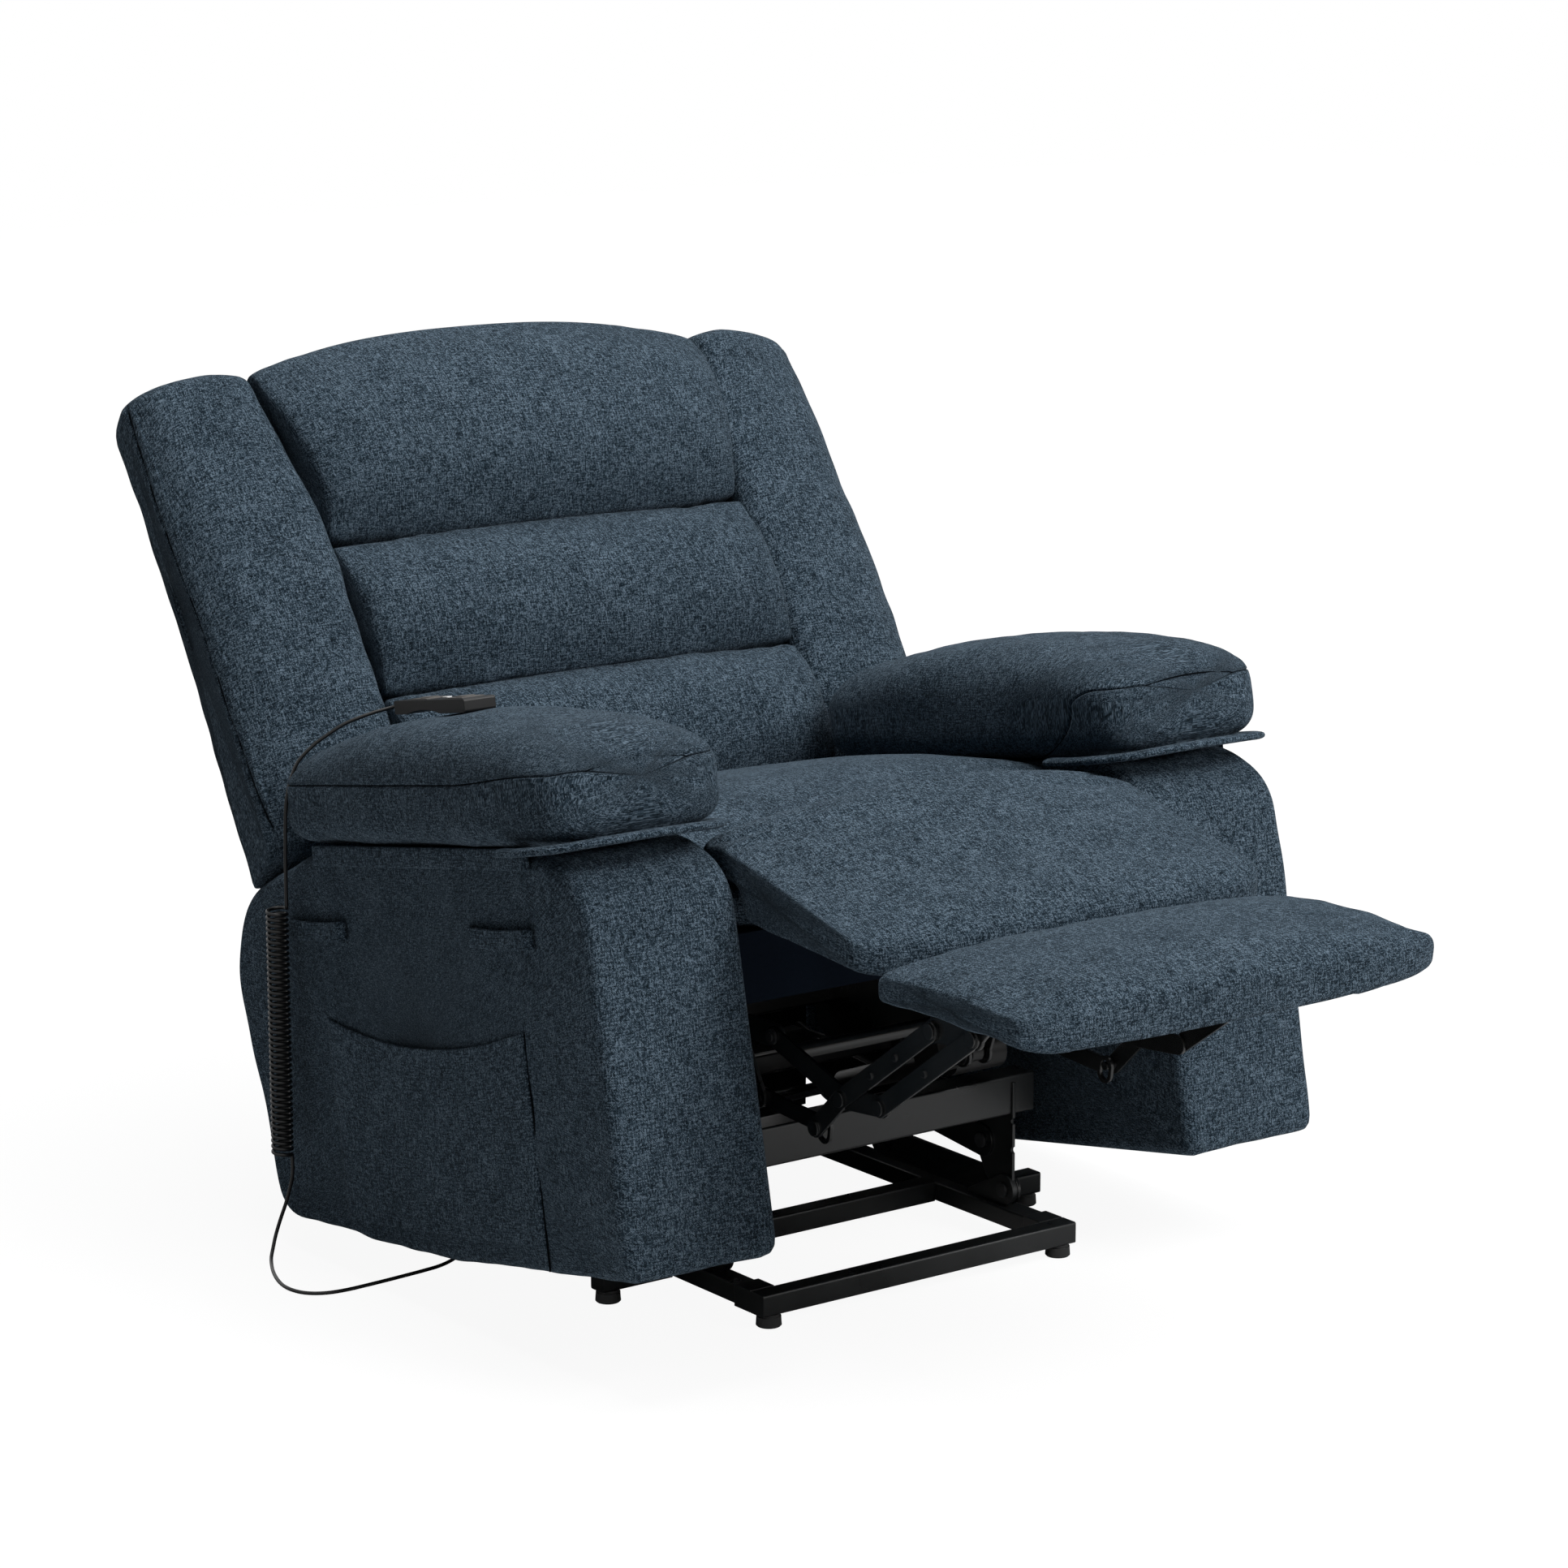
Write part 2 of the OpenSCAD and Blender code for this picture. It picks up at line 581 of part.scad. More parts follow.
// Side pocket: a fabric panel on the sitter's right, sewn to the arm at its sides and bottom
function mouth(t) = 318 - 27 * (1 - pow(2 * t - 1, 2));
module side_pocket() color("#2b3843") row() pitched() {
    n = 16;
    top = [for (i = [n:-1:0]) [36 + 420 * i / n, mouth(i / n)]];
    face = concat([[36, 78], [456, 78]], top);
    hollow = concat([[44, 86], [448, 86]], [for (i = [n:-1:0]) [44 + 404 * i / n, mouth(i / n) + 12]]);
    difference() {
        across(-arm_out - 9.5, -arm_out - 0.2) polygon(face);
        across(-arm_out - 7.5, -arm_out) polygon(hollow);
    }
}
// Two flat loops on the same side, stitched to the arm at their ends
module arm_loops() color("#26323d") row() pitched()
    for (y = [-4, 392])
        translate([-arm_out - 8.2, y, arm_h - 105]) difference() {
            cube([8, 124, 23]);
            translate([2, 10, -1]) cube([7, 104, 25]);
        }

module handset_place() row() pitched() translate([handset_x, handset_y, handset_z]) children();
module handset_case() color("#17191a") handset_place() difference() {
    across(-handset_w / 2, handset_w / 2) difference() {
        translate([-handset_len / 2, 0]) soft_square(handset_len, handset_h, 3);
        translate([14, -143.5]) circle(r = 148);
    }
    for (y = key_places)
        translate([-key_size[0] / 2 - 0.3, y - key_size[1] / 2 - 0.3, handset_h - key_size[2] - key_travel + 0.5])
            cube([key_size[0] + 0.6, key_size[1] + 0.6, key_size[2] + 4]);
}
module handset_key(y) color("#3a3735") handset_place()
    translate([-key_size[0] / 2, y - key_size[1] / 2, handset_h - key_size[2] + 1]) {
        cube(key_size);
        translate([key_size[0] / 2, key_size[1] / 2, key_size[2] - 0.5]) cylinder(r = 11, h = 1.5);
    }
module handset_key_front() handset_key(key_places[0]);
module handset_key_rear() handset_key(key_places[1]);
module cord_relief() color("#151617") {
    handset_place() translate([-3, handset_len / 2, handset_h / 2]) rotate([-90, 0, 0])
        cylinder(r1 = 4.5, r2 = cord_d / 2 + 0.8, h = 14);
    row() pitched() translate([-150, 440, 176]) rotate([180, 0, 0])
        cylinder(r1 = 6, r2 = cord_d / 2 + 1.2, h = 12);
}
module control_box() color("#17191a") row() pitched() {
    translate([-190, 410, 214]) difference() {
        cube([80, 60, 14]);
        for (x = [12, 68]) translate([x, 30, -1]) cylinder(r = 2.5, h = 20);
    }
    translate([-186, 414, 176]) cube([72, 52, 38]);
}

module rear_links() color("#1f2224") row() pitched() both_sides() {
    link_plate(1, [leg_pivot, knee_pivot, tip_pivot], link_w + 2, [leg_pivot]);
    for (p = [knee_pivot, tip_pivot]) {
        pin(p, layer(1), layer(3) + 1, pin_r);
        pin(p, layer(3), layer(3) + head_t, head_r);
    }
}
function drive_centre() = leg_pivot + (knee_pivot - leg_pivot) / norm(knee_pivot - leg_pivot) * drive_offset;
module drive_tube() color("#1f2224") row() pitched() {
    pin(drive_centre(), -layer(1), layer(1), drive_d / 2);
    for (side = [-1, 1])
        across(recline_x + side * 15 - 2, recline_x + side * 15 + 2) difference() {
            union() {
                bar_outline(drive_centre(), crank_pin, 26);
                bar_outline(drive_centre(), slot_end(crank_pin, crank_slot), 26);
                slot_outline(crank_pin, crank_slot, 7);
            }
            slot_outline(crank_pin, crank_slot, 0);
        }
}
module long_links() color("#1f2224") row() pitched() both_sides() {
    link_plate(2, [heel_pivot, knee_pivot, board_pivot], link_w, [knee_pivot]);
    pin(board_pivot, layer(1) - side_gap, layer(3), pin_r);
    pin(heel_pivot, layer(-1) - side_gap, layer(3), pin_r);
    for (p = [heel_pivot, board_pivot]) pin(p, layer(2) + plate_t, layer(3) + head_t, head_r);
    for (t = [0.35, 0.62])
        pin(knee_pivot + t * (board_pivot - knee_pivot), layer(2) + plate_t, layer(3) + 1.5, 4);
}
module short_links() color("#1f2224") row() pitched() both_sides() {
    link_plate(2, [tip_pivot, board_pivot_front], link_w, [tip_pivot]);
    pin(board_pivot_front, layer(1) - side_gap, layer(3), pin_r);
    pin(board_pivot_front, layer(2) + plate_t, layer(3) + head_t, head_r);
    pin(tip_pivot + 0.5 * (board_pivot_front - tip_pivot), layer(2) + plate_t, layer(3) + 1.5, 4);
}
module stay_links() color("#1f2224") row() pitched() both_sides()
    across(layer(-1), layer(-1) + plate_t) difference() {
        union() {
            bar_outline(stay_pivot, heel_pivot, link_w - 2);
            slot_outline(heel_pivot, stay_slot, 5);
        }
        pin_holes([stay_pivot], pin_r + run_gap);
        slot_outline(heel_pivot, stay_slot, 0);
    }

// The foot rest's own frame: s runs forwards from the pad's rear edge and h upwards from its base
module foot_place() row() pitched() translate([0, foot_origin[0], foot_origin[1]]) rotate([foot_slope, 0, 0])
    children();
module foot_board() color("#1a1b1c") foot_place()
    translate([-leg_w / 2 + 60, -foot_len + 48, -board_t - 0.3]) cube([leg_w - 120, foot_len - 62, board_t]);
module foot_brackets() color("#1f2224") row() pitched() both_sides()
    across(layer(1), layer(1) + plate_t) difference() {
        union() {
            bar_outline(board_pivot, board_pivot_front, 26);
            polygon([
                board_pivot + [12, -2], foot_origin + turned([-14, -board_t - 0.6], foot_slope),
                foot_origin + turned([-120, -board_t - 0.6], foot_slope), board_pivot_front + [-12, -4]
            ]);
        }
        pin_holes([board_pivot, board_pivot_front], pin_r + run_gap);
    }
module foot_pad() color("#33424e") foot_place()
    cushion(outline([
        [-foot_len, 1, 14], [-2, 0, 10], [-1, foot_t - 6, 18], [-foot_len / 2, foot_t, 50],
        [-foot_len, foot_t - 18, 24]
    ], 2), stations(leg_w / 2, 18, 4), [[-foot_len - 8, 0], [2, foot_t + 8]]);
module calf_pad() color("#33424e") row() pitched()
    cushion(outline([
        [-315, 345, 8], [-98, 408, 10], [-86, 460, 20], [-14, 502, 8], [-25, 515, 24], [-120, 486, 60],
        [-319, 388, 14]
    ], 2), stations(leg_w / 2, 18, 4), [[-322.4, 330], [20, 530]]);

module back_frame() color("#3a3027") leaning() {
    both_sides() {
        across(hinge_plate_x, hinge_plate_x + plate_t) difference() {
            bar_outline([0, 0], [frame_front + 17, 185], 34);
            pin_holes([[0, 0]], pin_r + run_gap);
        }
        translate([hinge_plate_x - 24, frame_front, 120]) cube([24, frame_t, back_h - 180]);
        translate([hinge_plate_x + 4.3, frame_front, wing_bottom + 20])
            cube([back_w / 2 - hinge_plate_x - 4.3, frame_t, back_h - 300]);
        pin([0, 0], hinge_plate_x - head_t - 0.3, box_half - 6, pin_r);
        pin([0, 0], hinge_plate_x - head_t - 0.3, hinge_plate_x - 0.3, head_r);
    }
    translate([-hinge_plate_x + 24, frame_front, 130]) cube([2 * hinge_plate_x - 48, 12, back_h - 200]);
}
module back_cover() color("#2b3843") leaning()
    translate([-back_w / 2 + 1, 19.6, wing_bottom - 6]) rotate([2.6, 0, 0])
        cube([back_w - 2, 7, back_h - wing_bottom - 20]);
// The wing's side outline; its front face falls back by "back" towards the inner and outer edges
function wing_outline(back) = outline([
    [-44 + 0.3 * back, wing_bottom, 14], [34, wing_bottom, 14], [12, 450, 80], [-4, back_h - 30, 14],
    [-28, back_h - 2, 22], [-72 + back, back_h - 10, 26], [-92 + back, 520, 120], [-78 + back, 260, 60]
], 2);
module wing() color("#2f3d49") leaning()
    skin([
        for (s = [
            [back_w / 2 + wing_gap, -10, 26, 1], [back_w / 2 + 8, -3, 12, 1], [back_w / 2 + 60, 2, 0, 0.6],
            [wing_span / 2 - 56, 0, 4, 0], [wing_span / 2 - 16, -3, 16, 0], [wing_span / 2 - 4, -8, 26, 0],
            [wing_span / 2, -14, 34, 0]
        ])
            [for (q = swollen(wing_outline(s[2]), s[1])) [s[0] + s[3] * head_spread * rise(q[1]), q[0], q[1]]]
    ]);
module wing_left() left_side() wing();
module wing_right() right_side() wing();
module back_cushion(low, high, front) color("#33424e") leaning()
    cushion(outline([
        [cushion_rear, low + 3, 6], [cushion_rear, high - 3, 6], [-84, high - 1, 14],
        [front, (low + high) / 2 + 30, 60], [front + 4, (low + high) / 2 - 40, 50], [-88, low + 1, 16]
    ], 2), stations(back_w / 2, 20, 8), [[front - 12, low], [cushion_rear, high]]);
module lumbar_cushion() back_cushion(172, lumbar_top - side_gap, -122);
module middle_cushion() back_cushion(lumbar_top, middle_top - side_gap, -128);
module headrest_cushion() color("#33424e") leaning()
    cushion(outline([
        [cushion_rear - 8, middle_top + 4, 6], [cushion_rear - 8, back_h - 50, 4], [-10, back_h - 46, 6],
        [-14, back_h - 6, 26], [-66, back_h + 4, 24], [-128, back_h - 80, 50], [-132, middle_top + 60, 50],
        [-86, middle_top + 2, 16]
    ], 2), stations(back_w / 2, 20, 8), [[-150, middle_top], [-8.3, back_h + 20]], 34, head_spread);

// Actuators: a gearbox with its eye, a motor beside it and an outer tube round the rod.
// Each is drawn along +Y from the eye of its rod. One eye is bored for a pin of its neighbour, and the
// other holds its own pin, which runs in the neighbour's slots.
lift_run = lift_rear_pin - rod_eye_pin;
lift_len = norm(lift_run);
recline_run = crank_pin - recline_rear_pin;
recline_len = norm(recline_run);
module lift_place() row() translate([lift_x, rod_eye_pin[0], rod_eye_pin[1]])
    rotate([atan2(lift_run[1], lift_run[0]), 0, 0]) children();
module recline_place() row() pitched() translate([recline_x, recline_rear_pin[0], recline_rear_pin[1]])
    rotate([atan2(recline_run[1], recline_run[0]), 0, 0]) children();
module actuator_body(rear, front) difference() {
    union() {
        translate([-8, rear, 0]) rotate([0, 90, 0]) cylinder(r = 11, h = 16);
        translate([-12, rear - 46, -11]) cube([24, 40, 22]);
        translate([-16, rear - 92, -19]) cube([32, 50, 33]);
        translate([0, rear - 90, 0]) rotate([90, 0, 0]) cylinder(r = 14, h = rear - 90 - front);
        translate([12, rear - 67, 0]) rotate([0, 90, 0]) cylinder(r = 21, h = 74);
    }
    translate([0, rear - 60, 0]) rotate([90, 0, 0]) cylinder(r = 8 + run_gap, h = rear - 59 - front);
}
module actuator_rod(length) {
    translate([-7, 0, 0]) rotate([0, 90, 0]) cylinder(r = 10, h = 14);
    translate([0, 6, 0]) rotate([-90, 0, 0]) cylinder(r = 8, h = length - 6);
}
module eye_bore(y) translate([-13, y, 0]) rotate([0, 90, 0]) cylinder(r = pin_r + run_gap, h = 26);
// A pin held in an eye, with a washer outside each of the slotted plates, whose outer faces lie at "plates"
module eye_pin(y, plates) translate([0, y, 0]) rotate([0, 90, 0]) {
    reach = plates + side_gap + washer_t;
    cylinder(r = pin_r, h = 2 * reach, center = true);
    for (side = [-1, 1])
        translate([0, 0, side * (reach - washer_t / 2)]) cylinder(r = washer_r, h = washer_t, center = true);
}
module lift_actuator() color("#1a1c1d") lift_place() difference() {
    actuator_body(lift_len, 40);
    eye_bore(lift_len);
}
module lift_rod() color("#b9bec2") lift_place() {
    actuator_rod(lift_len - 80);
    eye_pin(0, 13);
}
module recline_actuator() color("#1a1c1d") recline_place() {
    actuator_body(recline_len, 215);
    eye_pin(recline_len, 17);
}
module recline_rod() color("#b9bec2") recline_place() difference() {
    actuator_rod(250);
    eye_bore(0);
}

// A round tube swept along hand-chosen points: each ring is square to the run at its point
function unit(v) = v / norm(v);
function tube_ring(points, i, r, sides) =
    let (
        last = len(points) - 1, run = unit(points[min(i + 1, last)] - points[max(i - 1, 0)]),
        side = unit(cross(run, abs(run[2]) > 0.8 ? [0, 1, 0] : [0, 0, 1])), up = cross(side, run)
    )
    [for (k = [0:sides - 1]) points[i] + r * (cos(360 * k / sides) * side + sin(360 * k / sides) * up)];
// Points between the chosen ones, on a smooth curve through them
function between(points, steps) = concat([
    for (i = [0:len(points) - 2], j = [0:steps - 1])
        let (
            t = j / steps, p0 = points[max(i - 1, 0)], p1 = points[i], p2 = points[i + 1],
            p3 = points[min(i + 2, len(points) - 1)]
        )
        0.5 * (2 * p1 + (p2 - p0) * t + (2 * p0 - 5 * p1 + 4 * p2 - p3) * t * t
            + (3 * p1 - p0 - 3 * p2 + p3) * t * t * t)
], [points[len(points) - 1]]);
module cord(points, steps) row() {
    run = between(points, steps);
    skin([for (i = [0:len(run) - 1]) tube_ring(run, len(run) - 1 - i, cord_d / 2, 8)]);
}
module cord_upper() color("#101112") cord(cord_over_pad, 1);
module cord_lower() color("#101112") cord(cord_under_chair, 1);

// The curly length: one unbroken helix. Its ends bend round onto the rim and run straight up and down.
curl_r = (curl_d - curl_wire_d) / 2;
curl_rings = 8;
curl_lead = 9;
rim_angle = -37;
function on_rim(a, z) = [coil_x + curl_r * cos(a), coil_y + curl_r * sin(a), z];
function coil_point(turns) = on_rim(
    rim_angle + 360 * turns,
    cord_top_z - curl_lead - (cord_top_z - cord_low_z - 2 * curl_lead) * turns / curl_count
);
function bend(s, p, e) = [for (t = [0, 0.35, 0.7]) (1 - t) * (1 - t) * s + 2 * t * (1 - t) * p + t * t * e];
coil_steps = curl_count * curl_rings;
coil_head = concat(
    [on_rim(rim_angle, cord_top_z)],
    bend(on_rim(rim_angle, cord_top_z - 4), coil_point(0), coil_point(1 / curl_rings))
);
coil_tail = concat(
    [on_rim(rim_angle, cord_low_z)],
    bend(on_rim(rim_angle, cord_low_z + 4), coil_point(curl_count), coil_point(curl_count - 1 / curl_rings))
);
coil_line = concat(
    coil_head, [for (i = [1:coil_steps - 1]) coil_point(i / curl_rings)],
    [for (i = [len(coil_tail) - 1:-1:0]) coil_tail[i]]
);
function coil_ring(i) =
    let (
        last = len(coil_line) - 1, out = unit([coil_line[i][0] - coil_x, coil_line[i][1] - coil_y, 0]),
        run = i == 0 || i == last ? [0, 0, -1] : unit(coil_line[i + 1] - coil_line[i - 1]),
        side = unit(out - (out * run) * run), up = cross(side, run)
    )
    [for (k = [0:5]) coil_line[i] + curl_wire_d / 2 * (cos(60 * k) * side + sin(60 * k) * up)];
// The least gap is looked for among the points two thirds of a turn or more apart
coil_gap = min([
    for (i = [0:len(coil_line) - 1], j = [6:12])
        if (i + j < len(coil_line)) norm(coil_line[i] - coil_line[i + j])
]) - curl_wire_d;
echo(least_gap_between_curls = coil_gap);
module cord_coil() color("#101112") row()
    skin([for (i = [0:len(coil_line) - 1]) coil_ring(len(coil_line) - 1 - i)]);

front_rail();
side_rail_left();
side_rail_right();
mid_cross_bar();
rear_cross_bar();
outriggers();
rubber_feet();
upright_left();
upright_right();
base_lugs();
front_beam();
base_bolts();
upper_links();
link_tube();
lower_links();
chassis_plate_left();
chassis_plate_right();
chassis_cross_tubes();
chassis_bolts();
action_plate_left();
action_plate_right();
seat_cross_tubes();
seat_bolts();
seat_box();
seat_cushion();
arm_left();
arm_right();
arm_pad_left();
arm_pad_right();
pad_skirts();
side_pocket();
arm_loops();
handset_case();
handset_key_front();
handset_key_rear();
control_box();
rear_links();
drive_tube();
long_links();
short_links();
stay_links();
foot_board();
foot_brackets();
foot_pad();
calf_pad();
back_frame();
wing_left();
wing_right();
headrest_cushion();
middle_cushion();
lumbar_cushion();
back_cover();
lift_actuator();
lift_rod();
recline_actuator();
recline_rod();
cord_upper();
cord_coil();
cord_lower();
cord_relief();
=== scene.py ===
"""Looks of a power lift recliner chair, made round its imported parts.

Cushions, wings and arms are a closed side outline carried across the chair, with a swell at each station. The arm
pads are a section carried along the arm. Sizes are in millimetres, like the chair's construction, and become
metres in to_row.
"""

import logging
import math
from dataclasses import dataclass, field
from enum import Enum
from typing import Callable, Optional, Sequence

import bpy
import numpy as np
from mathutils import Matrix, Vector


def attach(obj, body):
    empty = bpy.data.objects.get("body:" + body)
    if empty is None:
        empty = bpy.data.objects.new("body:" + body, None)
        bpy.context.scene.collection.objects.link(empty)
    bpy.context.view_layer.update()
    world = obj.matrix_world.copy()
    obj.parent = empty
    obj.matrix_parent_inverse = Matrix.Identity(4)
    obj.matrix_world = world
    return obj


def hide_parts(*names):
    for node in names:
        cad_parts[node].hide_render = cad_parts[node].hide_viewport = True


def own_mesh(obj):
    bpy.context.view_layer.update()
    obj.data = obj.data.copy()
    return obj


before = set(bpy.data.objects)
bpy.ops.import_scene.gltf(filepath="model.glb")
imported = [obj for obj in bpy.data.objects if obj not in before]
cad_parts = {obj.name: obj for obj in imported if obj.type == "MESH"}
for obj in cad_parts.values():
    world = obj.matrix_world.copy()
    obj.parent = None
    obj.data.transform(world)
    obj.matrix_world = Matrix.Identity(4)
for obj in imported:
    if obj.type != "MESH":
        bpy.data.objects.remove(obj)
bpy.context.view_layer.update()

logging.basicConfig(level=logging.INFO, format="%(name)s: %(message)s")
log = logging.getLogger("recliner")

MM = 0.001
ROW_Y = 229.0
PITCH_DEG = 10.0
PITCH_PIVOT = (400.0, 130.0)
LEAN_DEG = 24.5
BACK_HINGE = (500.0, 330.0)
FOOT_SLOPE_DEG = 10.0
FOOT_ORIGIN = (-318.5, 329.5)
ARM_IN = 299.0
ARM_OUT = 500.0
ARM_TOP = 515.0
PAD_X = 397.0
PAD_REST = 515.3
BACK_HALF = 305.5
WING_OUT = 500.0
BACK_TOP = 800.0
HEAD_SPREAD = 24.0
HEAD_ARCH = 34.0
ARCH_FROM = 600.0
ARCH_RUN = 150.0
CUSHION_REAR = -30.3
LUMBAR_TOP = 343.0
MIDDLE_TOP = 549.0
LEG_HALF = 289.0
FOOT_LEN = 257.0
FOOT_THICK = 56.0
SEAT_TOP = 522.0
PAD_CROWN = 147.0
PAD_GAP = 0.4
CASE_THICK = 16.0
CORNER_SHARE = 0.48
INSET_POWER = 2.4
CAP_STEPS = 11
LAST_SHARE = 0.01
# Radius in millimetres of the dark seam tubes that paint shade into creases.
SEAM_SHADE_RADIUS = 0.9
FILL_FRAMES = 20


class Space(Enum):
    """The frame that a piece is drawn in."""

    GROUND = "ground"
    LEVEL = "level"
    BACK = "back"
    FOOT = "foot"


def turned(points: np.ndarray, degrees: float) -> np.ndarray:
    """Turn [y, z] pairs by an angle: y cos - z sin, z cos + y sin.

    Args:
        points: Array whose last axis is [y, z].
        degrees: The angle, from +Y towards +Z.

    Returns:
        The turned pairs, in the same layout.
    """
    c, s = math.cos(math.radians(degrees)), math.sin(math.radians(degrees))
    return np.stack([points[..., 0] * c - points[..., 1] * s, points[..., 1] * c + points[..., 0] * s], -1)


def to_row(points: np.ndarray, space: Space) -> np.ndarray:
    """Take [x, a, b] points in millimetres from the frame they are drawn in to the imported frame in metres.

    Args:
        points: Array whose last axis is [x, a, b].
        space: The frame that they are drawn in.

    Returns:
        The same points in metres.
    """
    p = np.asarray(points, float)
    side = p[..., 1:]
    if space is Space.BACK:
        side = turned(side, -LEAN_DEG) + np.array(BACK_HINGE)
    if space is Space.FOOT:
        side = turned(side, FOOT_SLOPE_DEG) + np.array(FOOT_ORIGIN)
    if space is not Space.GROUND:
        side = turned(side - np.array(PITCH_PIVOT), -PITCH_DEG) + np.array(PITCH_PIVOT)
    return np.concatenate([p[..., :1], side - np.array([ROW_Y, 0.0])], -1) * MM


# ---------------------------------------------------------------- surfaces


def powered(value: np.ndarray, power: float) -> np.ndarray:
    """The size of a value to a power, with the value's sign."""
    return np.sign(value) * np.abs(value) ** power


def bell(away: np.ndarray, width: float) -> np.ndarray:
    """A bell curve: exp(-(away / width)^2)."""
    return np.exp(-((away / width) ** 2))


def circle(count: int) -> tuple[np.ndarray, np.ndarray]:
    """The cosine and the sine at even steps round a circle."""
    angle = np.linspace(0.0, 2.0 * math.pi, count, endpoint=False)
    return np.cos(angle), np.sin(angle)


def run_along(steps: np.ndarray) -> np.ndarray:
    """The distance from the start, given the length of each step."""
    return np.concatenate([[0.0], np.cumsum(steps)])


def evenly(line: np.ndarray, count: int, closed: bool = True) -> np.ndarray:
    """Put points at even steps along a line.

    Args:
        line: Array of shape (n, k).
        count: How many points it gets.
        closed: Whether it runs back to its first point, which then isn't repeated.

    Returns:
        Array of shape (count, k).
    """
    if closed:
        line = np.vstack([line, line[:1]])
    run = run_along(np.linalg.norm(np.diff(line, axis=0), axis=1))
    at = np.linspace(0.0, run[-1], count, endpoint=not closed)
    return np.stack([np.interp(at, run, line[:, k]) for k in range(line.shape[1])], -1)


def softened(loop: np.ndarray, width: float) -> np.ndarray:
    """Smooth an even closed loop: each frequency f is damped by exp(-(f width)^2 / 2)."""
    step = np.linalg.norm(np.roll(loop, -1, 0) - loop, axis=1).mean()
    rate = np.fft.fftfreq(len(loop)) * 2.0 * math.pi / step
    gain = np.exp(-((rate * width) ** 2) / 2.0)[:, None]
    return np.real(np.fft.ifft(np.fft.fft(loop, axis=0) * gain, axis=0))


def rounded(corners: Sequence[Sequence[float]], count: int = 168, soft: float = 3.0) -> np.ndarray:
    """Closed outline from corners [a, b, radius], each corner a quadratic curve between its two tangent points.

    Args:
        corners: The corners in order round the outline.
        count: How many even points the outline gets.
        soft: Width in millimetres of the final smoothing.

    Returns:
        Array of shape (count, 2).
    """
    c = np.array(corners, float)
    p = c[:, :2]
    back, ahead = np.roll(p, 1, 0) - p, np.roll(p, -1, 0) - p
    back_len, ahead_len = np.linalg.norm(back, axis=1), np.linalg.norm(ahead, axis=1)
    reach = np.minimum(c[:, 2], CORNER_SHARE * np.minimum(back_len, ahead_len))
    start = p + back * (reach / back_len)[:, None]
    end = p + ahead * (reach / ahead_len)[:, None]
    t = np.linspace(0.0, 1.0, 17)[None, :, None]
    curve = (1 - t) ** 2 * start[:, None] + 2 * t * (1 - t) * p[:, None] + t**2 * end[:, None]
    return softened(evenly(curve.reshape(-1, 2), count), soft)


def swollen(loop: np.ndarray, swell: np.ndarray, tuck: float = 1.0) -> np.ndarray:
    """Copies of an outline, one per station: pushed out along its normals, or drawn in about its box's middle.

    Args:
        loop: Outline of shape (n, 2), anticlockwise.
        swell: One distance per station, shape (m,).
        tuck: The share of a draw-in that the outline's height takes; its depth takes all of it.

    Returns:
        Array of shape (m, n, 2).
    """
    along = np.roll(loop, -1, 0) - np.roll(loop, 1, 0)
    normal = np.stack([along[:, 1], -along[:, 0]], -1) / np.linalg.norm(along, axis=1)[:, None]
    low, high = loop.min(0), loop.max(0)
    middle, half = (low + high) / 2.0, (high - low) / 2.0
    drawn = 1.0 - np.maximum(-swell, 0.0)[:, None, None] * np.array([1.0, tuck]) / half
    return middle + (loop - middle) * drawn + np.maximum(swell, 0.0)[:, None, None] * normal


def spline(table: Sequence[Sequence[float]], count: int) -> np.ndarray:
    """Smooth curve through the rows of a table (Catmull-Rom), read at a count of even steps of the row number."""
    rows = np.asarray(table, float)
    at = np.linspace(0.0, len(rows) - 1.0, count)
    i = np.clip(np.floor(at).astype(int), 0, len(rows) - 2)
    t = (at - i)[:, None]
    p0, p1 = rows[np.maximum(i - 1, 0)], rows[i]
    p2, p3 = rows[i + 1], rows[np.minimum(i + 2, len(rows) - 1)]
    square, cube = 2 * p0 - 5 * p1 + 4 * p2 - p3, 3 * p1 - p0 - 3 * p2 + p3
    return 0.5 * (2 * p1 + (p2 - p0) * t + square * t**2 + cube * t**3)


def drift(points: np.ndarray, size: float, seed: int, waves: int = 12) -> np.ndarray:
    """Soft random field: a sum of plane waves with random directions and wavelengths near size.

    Args:
        points: Array whose last axis is a place in millimetres.
        size: Typical wavelength in millimetres.
        seed: Picks the waves, so that each run gives the same field.
        waves: How many waves are added.

    Returns:
        Values of about -1 to 1, one per point.
    """
    rng = np.random.default_rng(seed)
    way = rng.normal(size=(waves, points.shape[-1]))
    way *= (2.0 * math.pi / size * (0.6 + 0.9 * rng.random(waves)) / np.linalg.norm(way, axis=1))[:, None]
    return np.sin(points @ way.T + rng.random(waves) * 2.0 * math.pi).sum(-1) / math.sqrt(waves)


def pillow_profile(half: float, edge: float, crown: float, count: int = 84, square: float = 7.0) -> np.ndarray:
    """Stations [x, swell] across a cushion: a superellipse of the given edge depth, on a crown of a parabola.

    Args:
        half: Half the cushion's width.
        edge: How far the outline is drawn in at the sides.
        crown: How far it swells in the middle.
        count: Number of stations, at even steps along the profile.
        square: The superellipse's power across; a higher one has squarer sides.

    Returns:
        Array of shape (count, 2).
    """
    a = np.linspace(-math.pi / 2, math.pi / 2, 4001)
    share = powered(np.sin(a), 2.0 / square)
    inset = edge * (1.0 - np.abs(np.cos(a)) ** (2.0 / INSET_POWER))
    line = np.stack([half * share, crown * (1.0 - share**2) - inset], -1)
    return evenly(line, count, closed=False)


